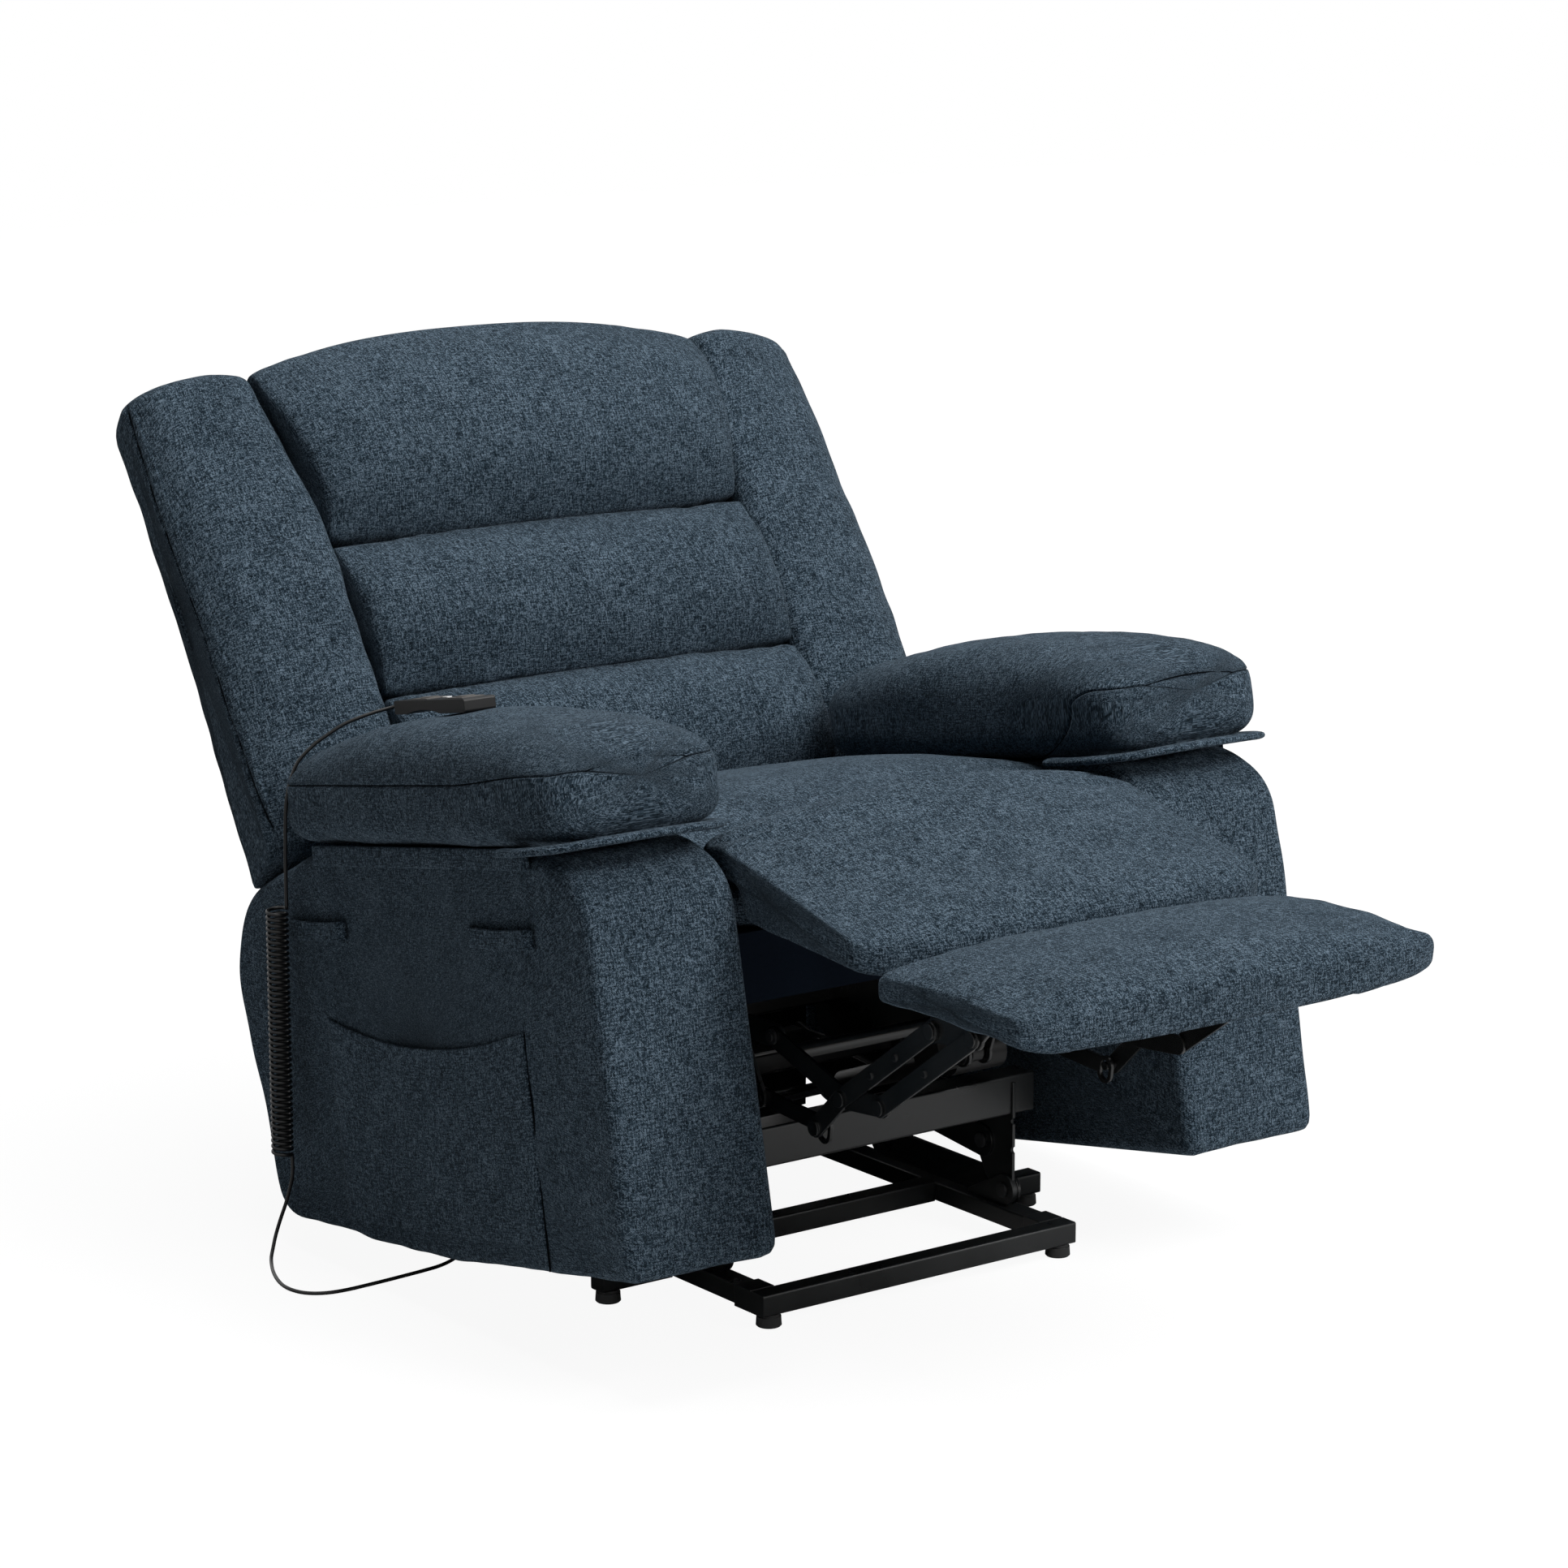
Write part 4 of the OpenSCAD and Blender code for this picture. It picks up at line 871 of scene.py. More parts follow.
@dataclass
class BackSet:
    """The back: headrest, middle and lumbar cushions between two wings, and the cover behind."""

    seam_shade: bpy.types.Material
    wing_bottom: float = 181.0
    seam_at: float = -41.0

    def cushions(self) -> list[Cushion]:
        """The three cushions between the wings, from the bottom up."""
        made = []
        for name, low, high, front in (
            ("lumbar_cushion", 172.0, LUMBAR_TOP - 0.3, -122.0),
            ("middle_cushion", LUMBAR_TOP, MIDDLE_TOP - 0.3, -128.0),
        ):
            middle = (low + high) / 2.0
            made.append(Cushion(
                name, "back", Space.BACK,
                [
                    (CUSHION_REAR, low + 3, 6), (CUSHION_REAR, high - 3, 6), (-80, high - 1, 10),
                    (front, middle + 34, 62), (front + 4, middle - 44, 50), (-84, low + 1, 12),
                ],
                BACK_HALF, 26.0, 8.0, (front - 18.0, low), (CUSHION_REAR, high), seed=11 + int(low), tuck=0.1,
                puckers=lambda r, lo=low, hi=high: pulled(
                    r, np.minimum(np.abs(r[..., 2] - hi), np.abs(r[..., 2] - lo)), 16.0, 1.4, 46.0, int(lo)),
            ))
        made.append(Cushion(
            "headrest_cushion", "back", Space.BACK,
            [
                (CUSHION_REAR - 8, MIDDLE_TOP + 4, 6), (CUSHION_REAR - 8, BACK_TOP - 50, 4),
                (-10, BACK_TOP - 46, 6), (-14, BACK_TOP - 6, 26), (-66, BACK_TOP + 4, 24),
                (-128, BACK_TOP - 80, 50), (-132, MIDDLE_TOP + 60, 50), (-82, MIDDLE_TOP + 2, 12),
            ],
            BACK_HALF, 26.0, 8.0, (-152.0, MIDDLE_TOP), (-8.3, BACK_TOP + 20.0), arch=HEAD_ARCH,
            spread=HEAD_SPREAD, seed=31, tuck=0.3,
            puckers=lambda r: pulled(r, np.abs(r[..., 2] - MIDDLE_TOP), 18.0, 1.4, 52.0, 5),
        ))
        return made

    def wing_loop(self, back: float) -> np.ndarray:
        """A wing's side outline; its front falls back by the given amount towards the wing's edges."""
        return rounded([
            (-44 + 0.3 * back, self.wing_bottom, 14), (39, self.wing_bottom - 19, 6), (13, 450, 80),
            (-4, BACK_TOP - 84, 10), (-11, BACK_TOP - 72, 6), (3, BACK_TOP - 56, 14),
            (0, BACK_TOP - 12 - 0.6 * back, 26), (-34, BACK_TOP + 1 - 0.6 * back, 22),
            (-76 + back, BACK_TOP - 12 - 0.6 * back, 40), (-92 + back, 520, 120), (-78 + back, 260, 60),
        ], 190)

    def wing(self, side: int, material: bpy.types.Material) -> None:
        """One wing: stations [x, swell, fall back, spread], with a sunk seam down its outer side.

        Args:
            side: 1 for the sitter's left, -1 for the right.
            material: Its finish.
        """
        table = np.array([
            (BACK_HALF + 2.5, -3, 20, 1.0), (BACK_HALF + 6, -1, 6, 1.0), (BACK_HALF + 22, 1, -5, 0.9),
            (BACK_HALF + 66, 2, -8, 0.6), (WING_OUT - 62, 1, 0, 0.0), (WING_OUT - 32, 0, 9, 0.0),
            (WING_OUT - 11, -1, 24, 0.0), (WING_OUT - 2, -2, 37, 0.0), (WING_OUT, -5, 46, 0.0),
        ], float)
        rows = spline(table, 110)
        loops = np.stack([swollen(self.wing_loop(back), np.array([swell]))[0] for _, swell, back, _ in rows])
        x = rows[:, :1] + rows[:, 3:] * HEAD_SPREAD * rise(loops[..., 1])
        rings = capped(np.stack([x, loops[..., 0], loops[..., 1]], -1), (0.0, 1.5), 40)
        outer = rings[..., 0] > WING_OUT - 8.0
        away = rings[..., 1] - self.seam_at
        groove = 2.6 * bell(away, 2.4) * outer
        puff = 2.4 * np.exp(-np.clip(-away, 0.0, None) / 14.0) * (away < 0.0) * outer
        field_ = 1.3 * drift(rings, 170.0, 41 + side) + 0.6 * drift(rings, 55.0, 43) + puff - groove
        rings = pushed(rings, field_)
        line = rings[outer & (np.abs(away) < 1.6)]
        line = line[np.argsort(line[:, 2])]
        height = np.linspace(line[0, 2] + 2.0, line[-1, 2] - 2.0, 90)
        at = np.interp(height, line[:, 2], line[:, 0]) + 0.4
        sewn = np.stack([at * side, np.full_like(height, self.seam_at), height], -1)
        name = sided("wing", side)
        # The dark tube laid in the groove is painted shade that deepens the seam's crease.
        painted_seam_shade(name + "_seam", to_row(sewn, Space.BACK), "back", self.seam_shade)
        upholster(name, rings, side, Space.BACK, "back", material)

    def cover(self, material: bpy.types.Material) -> None:
        """The panel behind the cushions, stretched on the back frame with a little slack."""
        u, v = np.meshgrid(np.linspace(-1.0, 1.0, 90), np.linspace(0.0, 1.0, 90), indexing="ij")
        half = BACK_HALF - 1.5
        height = self.wing_bottom - 4.0 + v * (BACK_TOP - self.wing_bottom - 26.0)
        fall = 21.0 - 27.0 * v
        slack = 1.5 + 3.0 * (1 - u**2) * np.sin(math.pi * v) + 0.8 * np.sin(9 * u + 3 * v) * np.sin(math.pi * v)
        grid = np.stack([u * half, fall + slack, height], -1)
        obj = sheet_mesh("back_cover_cloth", to_row(grid, Space.BACK))
        thickened(obj, 2.0)
        settle(obj, "back", material, ["back_cover"])

    def build(self, wardrobe: Wardrobe) -> None:
        """Make the whole back."""
        for cushion in self.cushions():
            cushion.build(wardrobe.chenille)
        for side in (1, -1):
            self.wing(side, wardrobe.chenille)
        self.cover(wardrobe.lining)


class SeatSet:
    """The seat cushion, the calf pad and the foot pad."""

    calf_hinge: tuple[float, float] = (-89.0, 399.0)
    calf_front: tuple[float, float] = (-315.0, 366.0)
    calf_keep: float = 0.45

    def cushions(self) -> list[Cushion]:
        """The three pads from the back to the front."""
        return [
            Cushion(
                "seat_cushion", "seat_frame", Space.LEVEL,
                [
                    (-78, 398.3, 6), (478, 398.3, 12), (494, SEAT_TOP - 19, 14), (430, SEAT_TOP - 2, 60),
                    (230, SEAT_TOP + 12, 120), (70, SEAT_TOP + 2, 60), (10, SEAT_TOP - 34, 30), (-76, 440, 22),
                ],
                ARM_IN - 1.0, 18.0, 8.0, (-84.0, 398.3), (500.0, 600.0), seed=51, square=9.0, outline_points=220,
            ),
            Cushion(
                "calf_pad", "calf_rest", Space.LEVEL,
                [
                    (-315, 345, 8), (-98, 408, 10), (-86, 460, 20), (-10, 492, 10), (-14, 515, 22),
                    (-52, 514, 40), (-125, 484, 60), (-319, 386, 14),
                ],
                LEG_HALF + 3.0, 28.0, 9.0, (-322.4, 330.0), (20.0, 540.0), seed=61, square=7.0, tuck=0.8,
                outline_points=190,
            ),
            Cushion(
                "foot_pad", "foot_rest", Space.FOOT,
                [
                    (-FOOT_LEN, -4, 6), (-FOOT_LEN + 26, -4, 6), (-FOOT_LEN + 34, 0, 4), (-2, 0, 8),
                    (-1, FOOT_THICK - 15, 18), (-FOOT_LEN / 2, FOOT_THICK - 3, 60),
                    (-FOOT_LEN - 1, FOOT_THICK - 13, 20),
                ],
                LEG_HALF + 5.0, 15.0, 12.0, (-FOOT_LEN - 8.0, -6.0), (2.0, FOOT_THICK + 12.0), seed=71, tuck=0.7,
                shrink=2.0, outline_points=150,
            ),
        ]

    def build(self, wardrobe: Wardrobe) -> None:
        """Make the three pads, and give the calf pad a mesh of its own."""
        made = {c.name: c.build(wardrobe.chenille) for c in self.cushions()}
        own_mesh(made["calf_pad"])


@dataclass
class ArmSet:
    """Both arms with their padded tops, and what is sewn to the sitter's right one."""

    seam_shade: bpy.types.Material
    front: float = -121.0
    bottom: float = 46.0
    pad_front: float = -88.0
    pad_len: float = 576.0
    pad_half: float = 130.0
    seam_height: float = 78.0
    seam_climb: float = 9.0
    seam_crest: float = 6.0
    inner_dip: float = 0.95
    pad_bulge: float = 5.0
    pad_stations: np.ndarray = field(default_factory=lambda: np.array([
        (0.0, 0.64, 27, 63, 99), (0.02, 0.83, 12, 67, 110), (0.06, 0.93, 4, 70, 119), (0.14, 0.98, 0, 72, 130),
        (0.3, 1.0, 0, 72, 142), (0.5, 1.0, 0, 72, 147), (0.68, 0.99, 0, 72, 143), (0.83, 0.96, 2, 71, 130),
        (0.93, 0.96, 1, 69, 118), (0.98, 0.89, 6, 66, 103), (1.0, 0.74, 15, 62, 85),
    ]))

    def arm_rings(self) -> np.ndarray:
        """Rings of the sitter's left arm in millimetres: stations [x, swell] with soft edges and a slight bulge."""
        loop = rounded([
            (self.front, self.bottom, 14), (352, self.bottom, 60), (458, self.bottom + 12, 50),
            (620, self.bottom + 27, 30), (652, 245, 60), (668, 400, 36), (624, 461, 36), (452, ARM_TOP, 40),
            (-30, ARM_TOP, 40), (self.front + 13, ARM_TOP - 42, 50),
        ], 300, 5.0)
        depth, reach, flat = 14.0, 17.0, 18
        angle = np.linspace(0.0, math.pi / 2, 13)
        x = np.concatenate([
            ARM_IN + reach * (1 - np.sin(angle)[::-1]), np.linspace(ARM_IN + reach + 8, ARM_OUT - reach - 8, flat),
            ARM_OUT - reach * (1 - np.sin(angle)),
        ])
        fall = -depth * (1 - np.cos(angle))
        swell = np.concatenate([fall[::-1], np.zeros(flat), fall])
        loops = swollen(loop, swell)
        rings = np.concatenate([np.broadcast_to(x[:, None, None], (*loops.shape[:2], 1)), loops], -1)
        return capped(rings, (-1.0, 2.0), 26)

    def arm(self, side: int, material: bpy.types.Material) -> None:
        """One arm, with the slack of cloth over foam on its front and its outer side."""
        rings = self.arm_rings()
        out = (rings[..., 0] > ARM_IN + 20.0).astype(float)
        top = np.clip((ARM_TOP - 2.0 - rings[..., 2]) / 30.0, 0.0, 1.0)
        field_ = (1.4 * drift(rings, 190.0, 81 + side) + 0.7 * drift(rings, 70.0, 83)) * out * top
        rings = pushed(rings, field_)
        upholster(sided("arm", side), rings, side, Space.LEVEL, "seat_frame", material)

    def pad_rings(self) -> tuple[np.ndarray, np.ndarray]:
        """Rings of the sitter's left arm pad and the sunk seam's strength at each point.

        The section is a superellipse: half width times cos^0.62 across, the crown times sin^0.85 above its middle
        height and the base times sin^0.40 below. The outer seam runs level and rises at the nose; its angle is
        where the crown reaches that height. The inner one runs low and climbs to meet it.

        Returns:
            The rings in millimetres, and a field of 0 to 1 with 1 in the seam.
        """
        width_power, crown_power, base_power = 0.62, 0.85, 0.40
        rows = spline(self.pad_stations, 104)
        nose = np.clip((0.32 - rows[:, 0]) / 0.26, 0.0, 1.0)
        climb = nose**2 * (3 - 2 * nose)
        goal = self.seam_height + self.seam_climb * climb
        reach = np.clip((goal - rows[:, 3]) / (rows[:, 4] - rows[:, 3]), 0.02, 0.9)
        outer = np.arcsin(reach ** (1.0 / crown_power))
        inner = math.pi + self.inner_dip - (self.inner_dip + outer) * climb
        span = np.linspace(0.0, 1.0, 61)[:-1]
        near = np.array([-0.055, -0.03, -0.012, 0.0, 0.012, 0.03, 0.055])
        upper = outer[:, None] + (inner - outer)[:, None] * span[None, :]
        lower = inner[:, None] + (2 * math.pi + outer - inner)[:, None] * span[None, :]
        angle = np.concatenate([upper, lower, outer[:, None] + near, inner[:, None] + near], 1)
        angle = np.sort(angle % (2 * math.pi), axis=1)
        away = np.minimum(np.abs(angle - outer[:, None]), np.abs(angle - inner[:, None]))
        c, s = np.cos(angle), np.sin(angle)
        half = (self.pad_half * rows[:, 1])[:, None]
        low, mid, high = (rows[:, k : k + 1] for k in (2, 3, 4))
        x = PAD_X + half * powered(c, width_power)
        above, below = (high - mid) * np.abs(s) ** crown_power, (mid - low) * np.abs(s) ** base_power
        z = PAD_REST + mid + np.where(s > 0, above, -below)
        y = np.broadcast_to((self.pad_front + self.pad_len * rows[:, :1]), x.shape)
        return np.stack([x, y, z], -1), bell(away, 0.022)

    def crest(self, ends: np.ndarray, share: np.ndarray) -> np.ndarray:
        """The nose seam's height between its two ends, at shares of 0 to 1 of the way across."""
        return ends[0] * (1 - share) + ends[1] * share + self.seam_crest * np.sin(math.pi * share)

    def pad(self, side: int, material: bpy.types.Material) -> None:
        """One padded arm top, with puckers drawn towards its nose seam.

        Args:
            side: 1 for the sitter's left, -1 for the right.
            material: Its finish.
        """
        rings, seam = self.pad_rings()
        puff = np.clip(1.0 - seam, 0.0, 1.0)
        nose = np.clip(1.0 - (rings[..., 1] - self.pad_front) / 230.0, 0.0, 1.0)
        waves = np.sin(2 * math.pi * rings[..., 1] / 17.0 + 2 * drift(rings, 60.0, 95))
        field_ = 1.5 * drift(rings, 120.0, 91 + side) + 0.5 * drift(rings, 45.0, 93) - 2.4 * seam
        field_ = field_ + 0.3 * nose * waves * puff * (rings[..., 2] > PAD_REST + 60)
        field_ = field_ * np.clip((rings[..., 2] - PAD_REST) / 12.0, 0.0, 1.0)
        rings = pushed(rings, field_)
        name = sided("arm_pad", side)
        outer, inner = (
            rings[np.arange(len(rings)), np.where(way * (rings[..., 0] - PAD_X) > 0.0, seam, -1.0).argmax(1)]
            for way in (1.0, -1.0)
        )
        ends = np.array([outer[0], inner[0]])
        t = np.linspace(0.0, 1.0, 40)[1:-1]
        across = ends[0, :2] * (1 - t[:, None]) + ends[1, :2] * t[:, None]
        front = np.stack([across[:, 0], across[:, 1] - 3.0 * (1 - (2 * t - 1) ** 2), self.crest(ends[:, 2], t)], -1)
        nose_cap = end_cap(rings[0], CAP_STEPS, 1, -self.pad_bulge)[::-1]
        share = np.clip((ends[0, 0] - nose_cap[..., 0]) / (ends[0, 0] - ends[1, 0]), 0.0, 1.0)
        nose_cap[..., 1] += 2.2 * bell(nose_cap[..., 2] - self.crest(ends[:, 2], share), 3.0)
        sewn = np.concatenate([outer[::-1], front, inner]) * np.array([side, 1.0, 1.0])
        # The dark tube along the seam is painted shade that deepens its crease.
        painted_seam_shade(name + "_seam", to_row(sewn[3:-3], Space.LEVEL), "seat_frame", self.seam_shade)
        self.lip(name + "_lip", side, material)
        rings = np.concatenate([nose_cap, rings, end_cap(rings[-1], CAP_STEPS, 1, self.pad_bulge)])
        upholster(name, rings, side, Space.LEVEL, "seat_frame", material)

    def lip(self, name: str, side: int, material: bpy.types.Material) -> None:
        """The piped edge of the pad's base, round its nose from the outer side to the inner.

        Args:
            name: The piece's name.
            side: 1 for the sitter's left, -1 for the right.
            material: Its finish.
        """
        nose, reach = self.pad_front - 1.0, 0.9 * self.pad_half
        plan = np.array([
            (reach, nose + 96, 4), (reach, nose + 74, 4), (0.97 * reach, nose + 48, 5), (0.86 * reach, nose + 24, 6),
            (0.64 * reach, nose + 8, 8), (0.3 * reach, nose + 1, 9), (-0.1 * reach, nose + 1, 9),
            (-0.5 * reach, nose + 6, 8), (-0.78 * reach, nose + 20, 6), (-0.93 * reach, nose + 44, 5),
            (-reach, nose + 80, 4), (-reach, nose + 120, 4),
        ])
        line = spline(plan, 90)
        run = np.gradient(line, axis=0)[:, :2]
        out = np.stack([run[:, 1], -run[:, 0]], -1) / np.linalg.norm(run, axis=1)[:, None]
        c, s = circle(18)
        stand = 14.0 * c - 8.0
        x = PAD_X + line[:, :1] + out[:, :1] * stand
        y = line[:, 1:2] + out[:, 1:] * stand
        z = PAD_REST + line[:, 2:] + 5.0 * powered(s, 0.7) + 0.0 * x
        rings = np.stack([x * side, y, z], -1)
        settle(closed_mesh(name, to_row(rings, Space.LEVEL)), "seat_frame", material)

    def skirt(self, material: bpy.types.Material) -> None:
        """The strip of cloth below each pad's outer edge, a soft flat tube along the arm."""
        c, s = circle(40)
        start, stop = -14.0, 446.0
        y = np.linspace(start, stop, 90)
        end = np.clip(np.minimum(y - start, stop - y) / 3.0, 0.0, 1.0) ** 0.4
        wide, tall = 3.4 * powered(c, 0.5), 12.0 * powered(s, 0.3)
        wave = 0.5 * np.sin(y / 31.0) + 0.35 * np.sin(y / 12.0 + 1.0)
        x = ARM_OUT + 3.5 + wide[None] * end[:, None] + np.clip(wave, 0.0, 1.0)[:, None]
        z = ARM_TOP - 6.0 + tall[None] * (0.85 + 0.15 * end[:, None])
        rings = np.stack([x, np.broadcast_to(y[:, None], x.shape), z], -1)
        for side in (1, -1):
            obj = closed_mesh(sided("skirt", side), to_row(rings * np.array([side, 1, 1]), Space.LEVEL))
            settle(obj, "seat_frame", material, ["pad_skirts"])

    def pocket(self, material: bpy.types.Material) -> None:
        """The side pocket: a panel sewn down at its sides and bottom, its mouth sagging and standing off a little."""
        t, w = np.meshgrid(np.linspace(0.0, 1.0, 110), np.linspace(0.0, 1.0, 76), indexing="ij")
        front, width, hem, top, sag = 36.0, 420.0, 78.0, 318.0, 27.0
        mouth = top - sag * (1.0 - (2.0 * t - 1.0) ** 2)
        y = front + width * t
        z = hem + (mouth - hem) * w
        held = np.clip(np.minimum(t, 1.0 - t) / 0.035, 0.0, 1.0) ** 0.6 * np.clip(w / 0.05, 0.0, 1.0) ** 0.6
        belly = 1.6 + 3.6 * np.sin(math.pi * t) ** 0.7 * w**1.5
        fold = bell(t - 0.27 - 0.05 * w, 0.02) * np.sin(math.pi * w)
        ripple = 0.35 * drift(np.stack([y, z], -1), 80.0, 7)
        x = -(ARM_OUT + 2.6 + held * (belly + fold + ripple))
        obj = sheet_mesh("side_pocket_cloth", to_row(np.stack([x, y, z], -1), Space.LEVEL))
        thickened(obj, 2.2)
        settle(obj, "seat_frame", material, ["side_pocket"])
        # A dark tube down the pocket's front edge is painted shade of the small step there.
        z = np.linspace(hem - 26.0, top - 2.0, 40)
        edge = np.stack([np.full_like(z, -ARM_OUT - 1.6), front - 1.0 + 0.5 * np.sin(z / 40.0), z], -1)
        painted_seam_shade("pocket_edge_shade", to_row(edge, Space.LEVEL), "seat_frame", self.seam_shade, 1.2)

    def loops(self, material: bpy.types.Material) -> None:
        """Two flat loops of doubled cloth, sewn down at both ends and standing off between."""
        t, w = np.meshgrid(np.linspace(0.0, 1.0, 70), np.linspace(0.0, 1.0, 12), indexing="ij")
        length, width, low = 124.0, 22.0, 410.5
        off = 1.5 + 7.0 * np.clip(np.minimum(t, 1.0 - t) / 0.05, 0.0, 1.0) ** 0.6
        for start, name in ((-4.0, "loop_front"), (392.0, "loop_rear")):
            x = -(ARM_OUT + off + 0.6 * np.sin(math.pi * w) + 0.4 * np.sin(7 * t + 2 * w))
            grid = np.stack([x, start + length * t, low + width * w + 1.2 * np.sin(5 * t + start)], -1)
            obj = sheet_mesh(name, to_row(grid, Space.LEVEL))
            thickened(obj, 3.4)
            settle(obj, "seat_frame", material, ["arm_loops"])

    def build(self, wardrobe: Wardrobe) -> None:
        """Make both arms and what is sewn to them."""
        for side in (1, -1):
            self.arm(side, wardrobe.chenille)
            self.pad(side, wardrobe.chenille)
        self.skirt(wardrobe.chenille)
        self.pocket(wardrobe.chenille)
        self.loops(wardrobe.chenille)


# ---------------------------------------------------------------- handset and cord


@dataclass
class HandsetCord:
    """The handset's cord: straight over the pad, curly beside the arm, straight again along the floor."""

    diameter: float = 4.4
    curl_wire: float = 4.2
    curl_outer: float = 27.0
    curls: int = 44
    top: float = 438.0
    bottom: float = 122.0
    lead: float = 9.0
    rim_deg: float = -37.0
    bend: float = 0.04
    bend_in: float = 3.5
    steps: int = 26
    axis: tuple[float, float] = (-532.0, 548.0)
    over_pad: tuple = (
        (-400, 478.3, 665.9), (-400.5, 485, 664.7), (-408, 491, 662), (-430, 497.5, 657), (-458, 508, 647),
        (-481, 518, 632), (-493, 524, 622), (-509, 533, 602), (-518, 538, 573), (-521.5, 540.2, 547),
        (-522.7, 541, 502), (-523, 541.2, 472), (-523, 541.2, 455), (-523, 541.2, 438),
    )
    under_chair: tuple = (
        (-523, 541.2, 122), (-523, 541.2, 108), (-524.5, 544, 92), (-528, 549.5, 70), (-533, 555.5, 48),
        (-538, 558.5, 29), (-543.5, 556.5, 14), (-551, 548, 6), (-561, 530, 2.5), (-573, 505, 2.5),
        (-583, 478, 2.5), (-588, 455, 2.5), (-587, 436, 2.5), (-581, 421, 2.5), (-570, 410.5, 2.5),
        (-555, 404, 2.5), (-535, 401.5, 2.5), (-510, 402, 2.5), (-482, 403.5, 2.5), (-456, 405.5, 2.5),
        (-428, 408, 2.5), (-402, 412, 2.5), (-378, 422, 2.5), (-355, 438, 2.5), (-334, 457, 2.5),
        (-313, 477, 3), (-292, 496, 9), (-272, 510, 24), (-252, 518, 42), (-230, 521, 55),
        (-206, 520, 63), (-184, 510, 69), (-167, 492, 77), (-156, 470, 90), (-151, 453, 108),
        (-150, 444, 128), (-150, 443.1, 144.4), (-150, 445.2, 156.2),
    )

    def free(self, points: Sequence[Sequence[float]], steps: int) -> np.ndarray:
        """Smooth line through chosen points, with a number of steps between two of them."""
        return spline(points, (len(points) - 1) * steps + 1)

    def rim(self, degrees: np.ndarray, z: np.ndarray) -> np.ndarray:
        """Points on the curls' centre circle at an angle and a height."""
        radius = (self.curl_outer - self.curl_wire) / 2.0
        a = np.radians(degrees)
        return np.stack([self.axis[0] + radius * np.cos(a), self.axis[1] + radius * np.sin(a), z], -1)

    def curly(self) -> np.ndarray:
        """The helix: angle 360 degrees a turn, height falling evenly, with a bend to the straight at each end."""
        turns = np.linspace(self.bend, self.curls - self.bend, self.curls * self.steps)
        fall = (self.top - self.bottom - 2 * self.lead) / self.curls
        helix = self.rim(self.rim_deg + 360.0 * turns, self.top - self.lead - fall * turns)
        ends = []
        for z, way, at in ((self.top, -1.0, 0.0), (self.bottom, 1.0, float(self.curls))):
            start = self.rim(np.array([self.rim_deg]), np.array([z + way * self.bend_in]))
            corner = self.rim(np.array([self.rim_deg]), np.array([self.top - self.lead - fall * at]))
            goal = helix[:1] if way < 0 else helix[-1:]
            t = np.linspace(0.0, 1.0, 9)[:-1, None]
            ends.append((1 - t) ** 2 * start + 2 * t * (1 - t) * corner + t**2 * goal)
        return np.concatenate([ends[0], helix, ends[1][::-1]])

    def line(self) -> np.ndarray:
        """The whole centreline in metres, from the handset to the box under the seat."""
        whole = np.concatenate([self.free(self.over_pad, 6), self.curly(), self.free(self.under_chair, 5)])
        return to_row(whole, Space.GROUND)

    def build(self, wardrobe: Wardrobe) -> None:
        """Make the cord in place of its three packed lengths."""
        line = self.line()
        obj = line_object("handset_cord", line, self.diameter / 2.0 * MM)
        settle(obj, "seat_frame", wardrobe.sheath, ["cord_upper", "cord_coil", "cord_lower"])


def painted_shade_cloth(material: bpy.types.Material) -> None:
    """Near-black cloth hung between the arms behind the base, slack by a few millimetres: painted shade of the
    chair's shadowed inside.
    """
    u, v = np.meshgrid(np.linspace(-1.0, 1.0, 60), np.linspace(0.0, 1.0, 24), indexing="ij")
    half, drop, depth, low = ARM_IN - 1.0, 254.0, 622.0, 26.0
    ripple = 1.2 * drift(np.stack([300.0 * u, 240.0 * v], -1), 120.0, 17)
    slack = 2.5 * np.sin(math.pi * v) * (1.0 - u**2) + ripple
    grid = np.stack([u * half, depth + slack, low + drop * v + 4.0 * u**2], -1)
    obj = sheet_mesh("painted_shade_cloth", to_row(grid, Space.GROUND))
    thickened(obj, 1.2)
    settle(obj, "seat_frame", material)


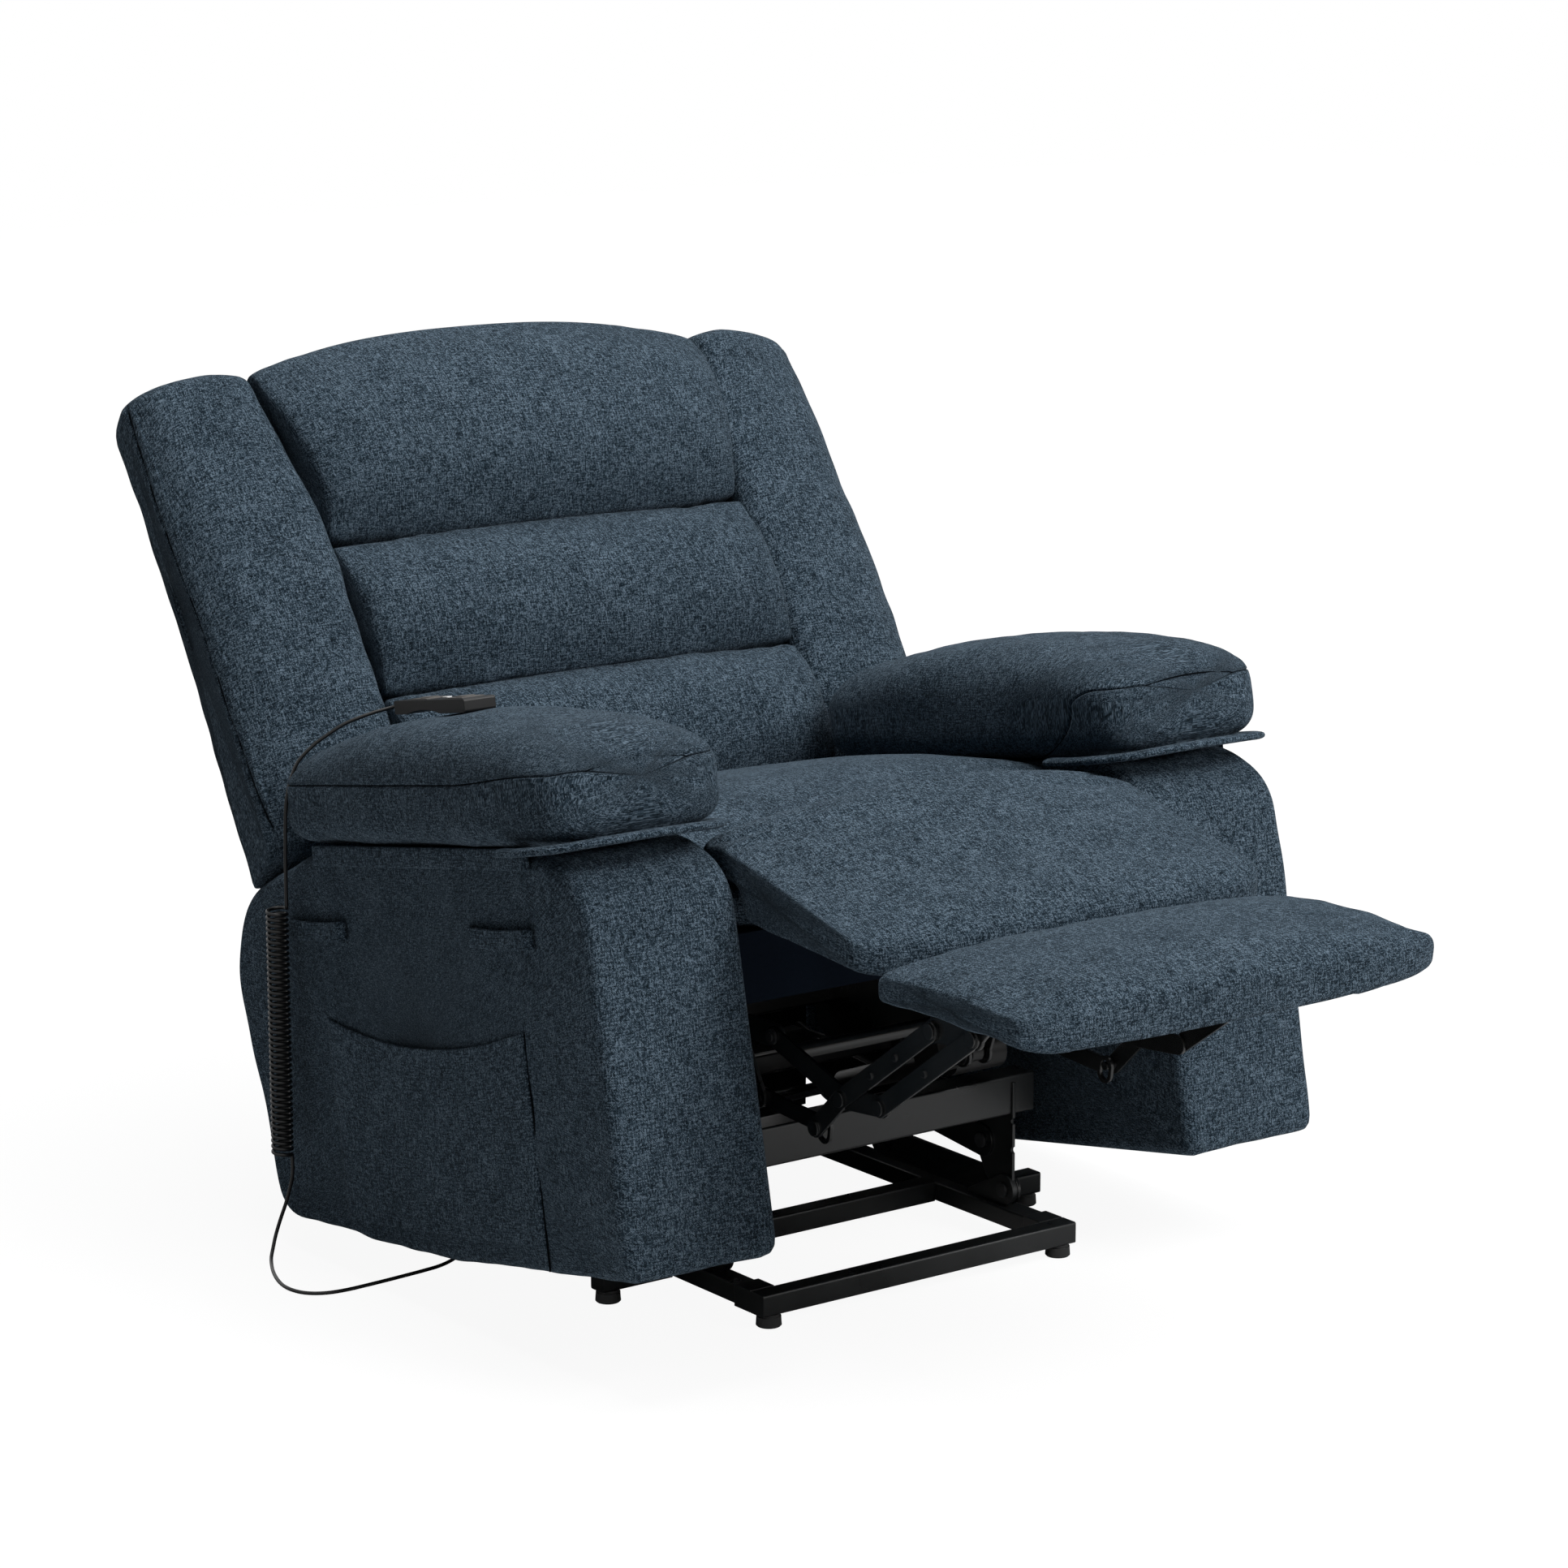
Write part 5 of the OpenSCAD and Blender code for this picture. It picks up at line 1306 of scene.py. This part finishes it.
class Hardware:
    """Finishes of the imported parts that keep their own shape."""

    powder = (
        "front_rail", "side_rail_left", "side_rail_right", "mid_cross_bar", "rear_cross_bar", "outriggers",
        "front_beam", "chassis_cross_tubes", "seat_cross_tubes", "upright_left", "upright_right", "base_lugs",
        "chassis_plate_left", "chassis_plate_right", "action_plate_left", "action_plate_right",
    )
    links = (
        "upper_links", "link_tube", "lower_links", "rear_links", "drive_tube", "long_links", "short_links",
        "stay_links", "foot_brackets",
    )
    bolts = ("base_bolts", "chassis_bolts", "seat_bolts")
    moulded = ("lift_actuator", "recline_actuator", "control_box", "handset_case", "cord_relief")

    def build(self, wardrobe: Wardrobe) -> None:
        """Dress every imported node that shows."""
        table = {
            wardrobe.powder: self.powder, wardrobe.powder_links: self.links, wardrobe.zinc: self.bolts,
            wardrobe.plastic: self.moulded, wardrobe.rod: ("lift_rod", "recline_rod"),
            wardrobe.rubber: ("rubber_feet",), wardrobe.gloss: ("handset_key_front", "handset_key_rear"),
            # back_frame wears the same near-black painted-shade cloth.
            wardrobe.lining: ("seat_box",), wardrobe.ply: ("foot_board",), wardrobe.shade: ("back_frame",),
        }
        for material, names in table.items():
            for name in names:
                dress(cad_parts[name], material)
            log.info("%s: %d nodes", material.name, len(names))

    def mark(self, wardrobe: Wardrobe) -> None:
        """The handset's bare white mark: a small rounded bar between the keys."""
        c, s = circle(32)
        flat = np.stack([4.2 * powered(c, 0.5), 5.4 * powered(s, 0.5)], -1)
        between_keys = 286.0
        case_top = PAD_REST + PAD_CROWN + PAD_GAP + CASE_THICK
        rows = []
        for scale, height in ((0.9, -0.4), (1.0, 0.3), (1.0, 1.2), (0.9, 1.5)):
            x, y = (flat * scale).T
            rows.append(np.stack([x - PAD_X, y + between_keys, np.full_like(x, case_top + height)], -1))
        obj = closed_mesh("handset_mark", to_row(np.stack(rows), Space.LEVEL))
        settle(obj, "seat_frame", wardrobe.mark)


# ---------------------------------------------------------------- studio


@dataclass
class Studio:
    """Camera, floor and soft light."""

    eye: tuple[float, float, float] = (-3.19163, -4.23587, 1.71792)
    azimuth: float = -36.7266
    elevation: float = 12.2728
    lens: float = 106.09
    sensor: float = 36.0
    fill: float = 0.035
    white: float = 0.93
    paper: float = 0.15
    aim: tuple[float, float, float] = (0.0, 0.0, 0.5)
    lamps: tuple = (("key", (1.6, -3.2, 3.6), 2.6, 160.0), ("top", (0.0, 0.4, 4.2), 2.4, 80.0))

    def placed(self, name: str, data: bpy.types.ID, place: Sequence[float], way: Vector) -> bpy.types.Object:
        """A camera or lamp at a place, facing along a vector."""
        obj = linked(name, data)
        obj.location = place
        obj.rotation_mode = "QUATERNION"
        obj.rotation_quaternion = way.to_track_quat("-Z", "Y")
        return obj

    def camera(self) -> None:
        """Place the camera and make it the scene's."""
        a, e = math.radians(self.azimuth), math.radians(self.elevation)
        back = Vector((math.sin(a) * math.cos(e), -math.cos(a) * math.cos(e), math.sin(e)))
        data = bpy.data.cameras.new("camera")
        data.lens = self.lens
        data.sensor_width = self.sensor
        bpy.context.scene.camera = self.placed("camera", data, self.eye, -back)

    def lamp(self, name: str, place: Sequence[float], size: float, power: float) -> None:
        """One square soft box that faces the chair, of a side in metres and a power in watts."""
        data = bpy.data.lights.new(name, "AREA")
        data.size = size
        data.energy = power
        self.placed(name, data, place, Vector(self.aim) - Vector(place))

    def world(self) -> None:
        """Even fill light that the camera and reflections see as white."""
        n = Nodes(bpy.data.worlds.new("studio"))
        rays = n.add("LightPath").outputs
        shown = n.math("MAXIMUM", rays["Is Camera Ray"], rays["Is Glossy Ray"])
        seen = n.math("MAXIMUM", shown, rays["Is Transmission Ray"])
        fill = n.add("Background", None, Color=(0.86, 0.95, 1.0, 1.0), Strength=self.fill)
        white = n.add("Background", None, Color=(1.0, 1.0, 1.0, 1.0), Strength=1.0)
        mix = n.add("MixShader", None, i0=seen, i1=fill.outputs[0], i2=white.outputs[0])
        bpy.context.scene.world = n.out(mix)

    def floor(self) -> None:
        """A wide pale floor that keeps the chair's shadow.

        To the camera it is paper of a small share on a glow that grows to full white three metres out.
        """
        side = np.linspace(-12.0, 12.0, 3)
        x, y = np.meshgrid(side, side, indexing="ij")
        obj = sheet_mesh("floor", np.stack([x, y, np.full_like(x, -0.0005)], -1))
        n = Nodes.material("floor_paper")
        where = n.place()
        colour = n.ramp(n.noise(where, 3.0, 2.0, 0.5), [(0.2, (0.86, 0.86, 0.86)), (0.8, (0.90, 0.90, 0.90))])
        paper = n.add("BsdfDiffuse", None, Color=colour)
        thin = n.add("BsdfDiffuse", None, Color=(self.paper, self.paper, self.paper, 1.0))
        far = n.add("VectorMath", {"operation": "LENGTH"}, i0=where).outputs[1]
        level = n.fitted(far, self.white, 1.0, 0.8, 3.0)
        glow = n.add("Emission", None, Color=(1.0, 1.0, 1.0, 1.0), Strength=level)
        seen = n.add("AddShader", None, i0=glow.outputs[0], i1=thin.outputs[0])
        rays = n.add("LightPath")
        mix = n.add("MixShader", None, i0=rays.outputs["Is Camera Ray"], i1=paper.outputs[0], i2=seen.outputs[0])
        dress(obj, n.out(mix))

    def build(self) -> None:
        """Set up the studio."""
        bpy.context.scene.view_settings.view_transform = "Standard"
        self.world()
        self.floor()
        for lamp in self.lamps:
            self.lamp(*lamp)


def main() -> None:
    """Build the scene: camera and cord first, then the studio, the hardware and the upholstery."""
    studio = Studio()
    studio.camera()
    wardrobe = Wardrobe()
    HandsetCord().build(wardrobe)
    studio.build()
    hardware = Hardware()
    hardware.build(wardrobe)
    hardware.mark(wardrobe)
    SeatSet().build(wardrobe)
    ArmSet(wardrobe.seam_shade).build(wardrobe)
    BackSet(wardrobe.seam_shade).build(wardrobe)
    painted_shade_cloth(wardrobe.shade)


if __name__ == "__main__":
    main()
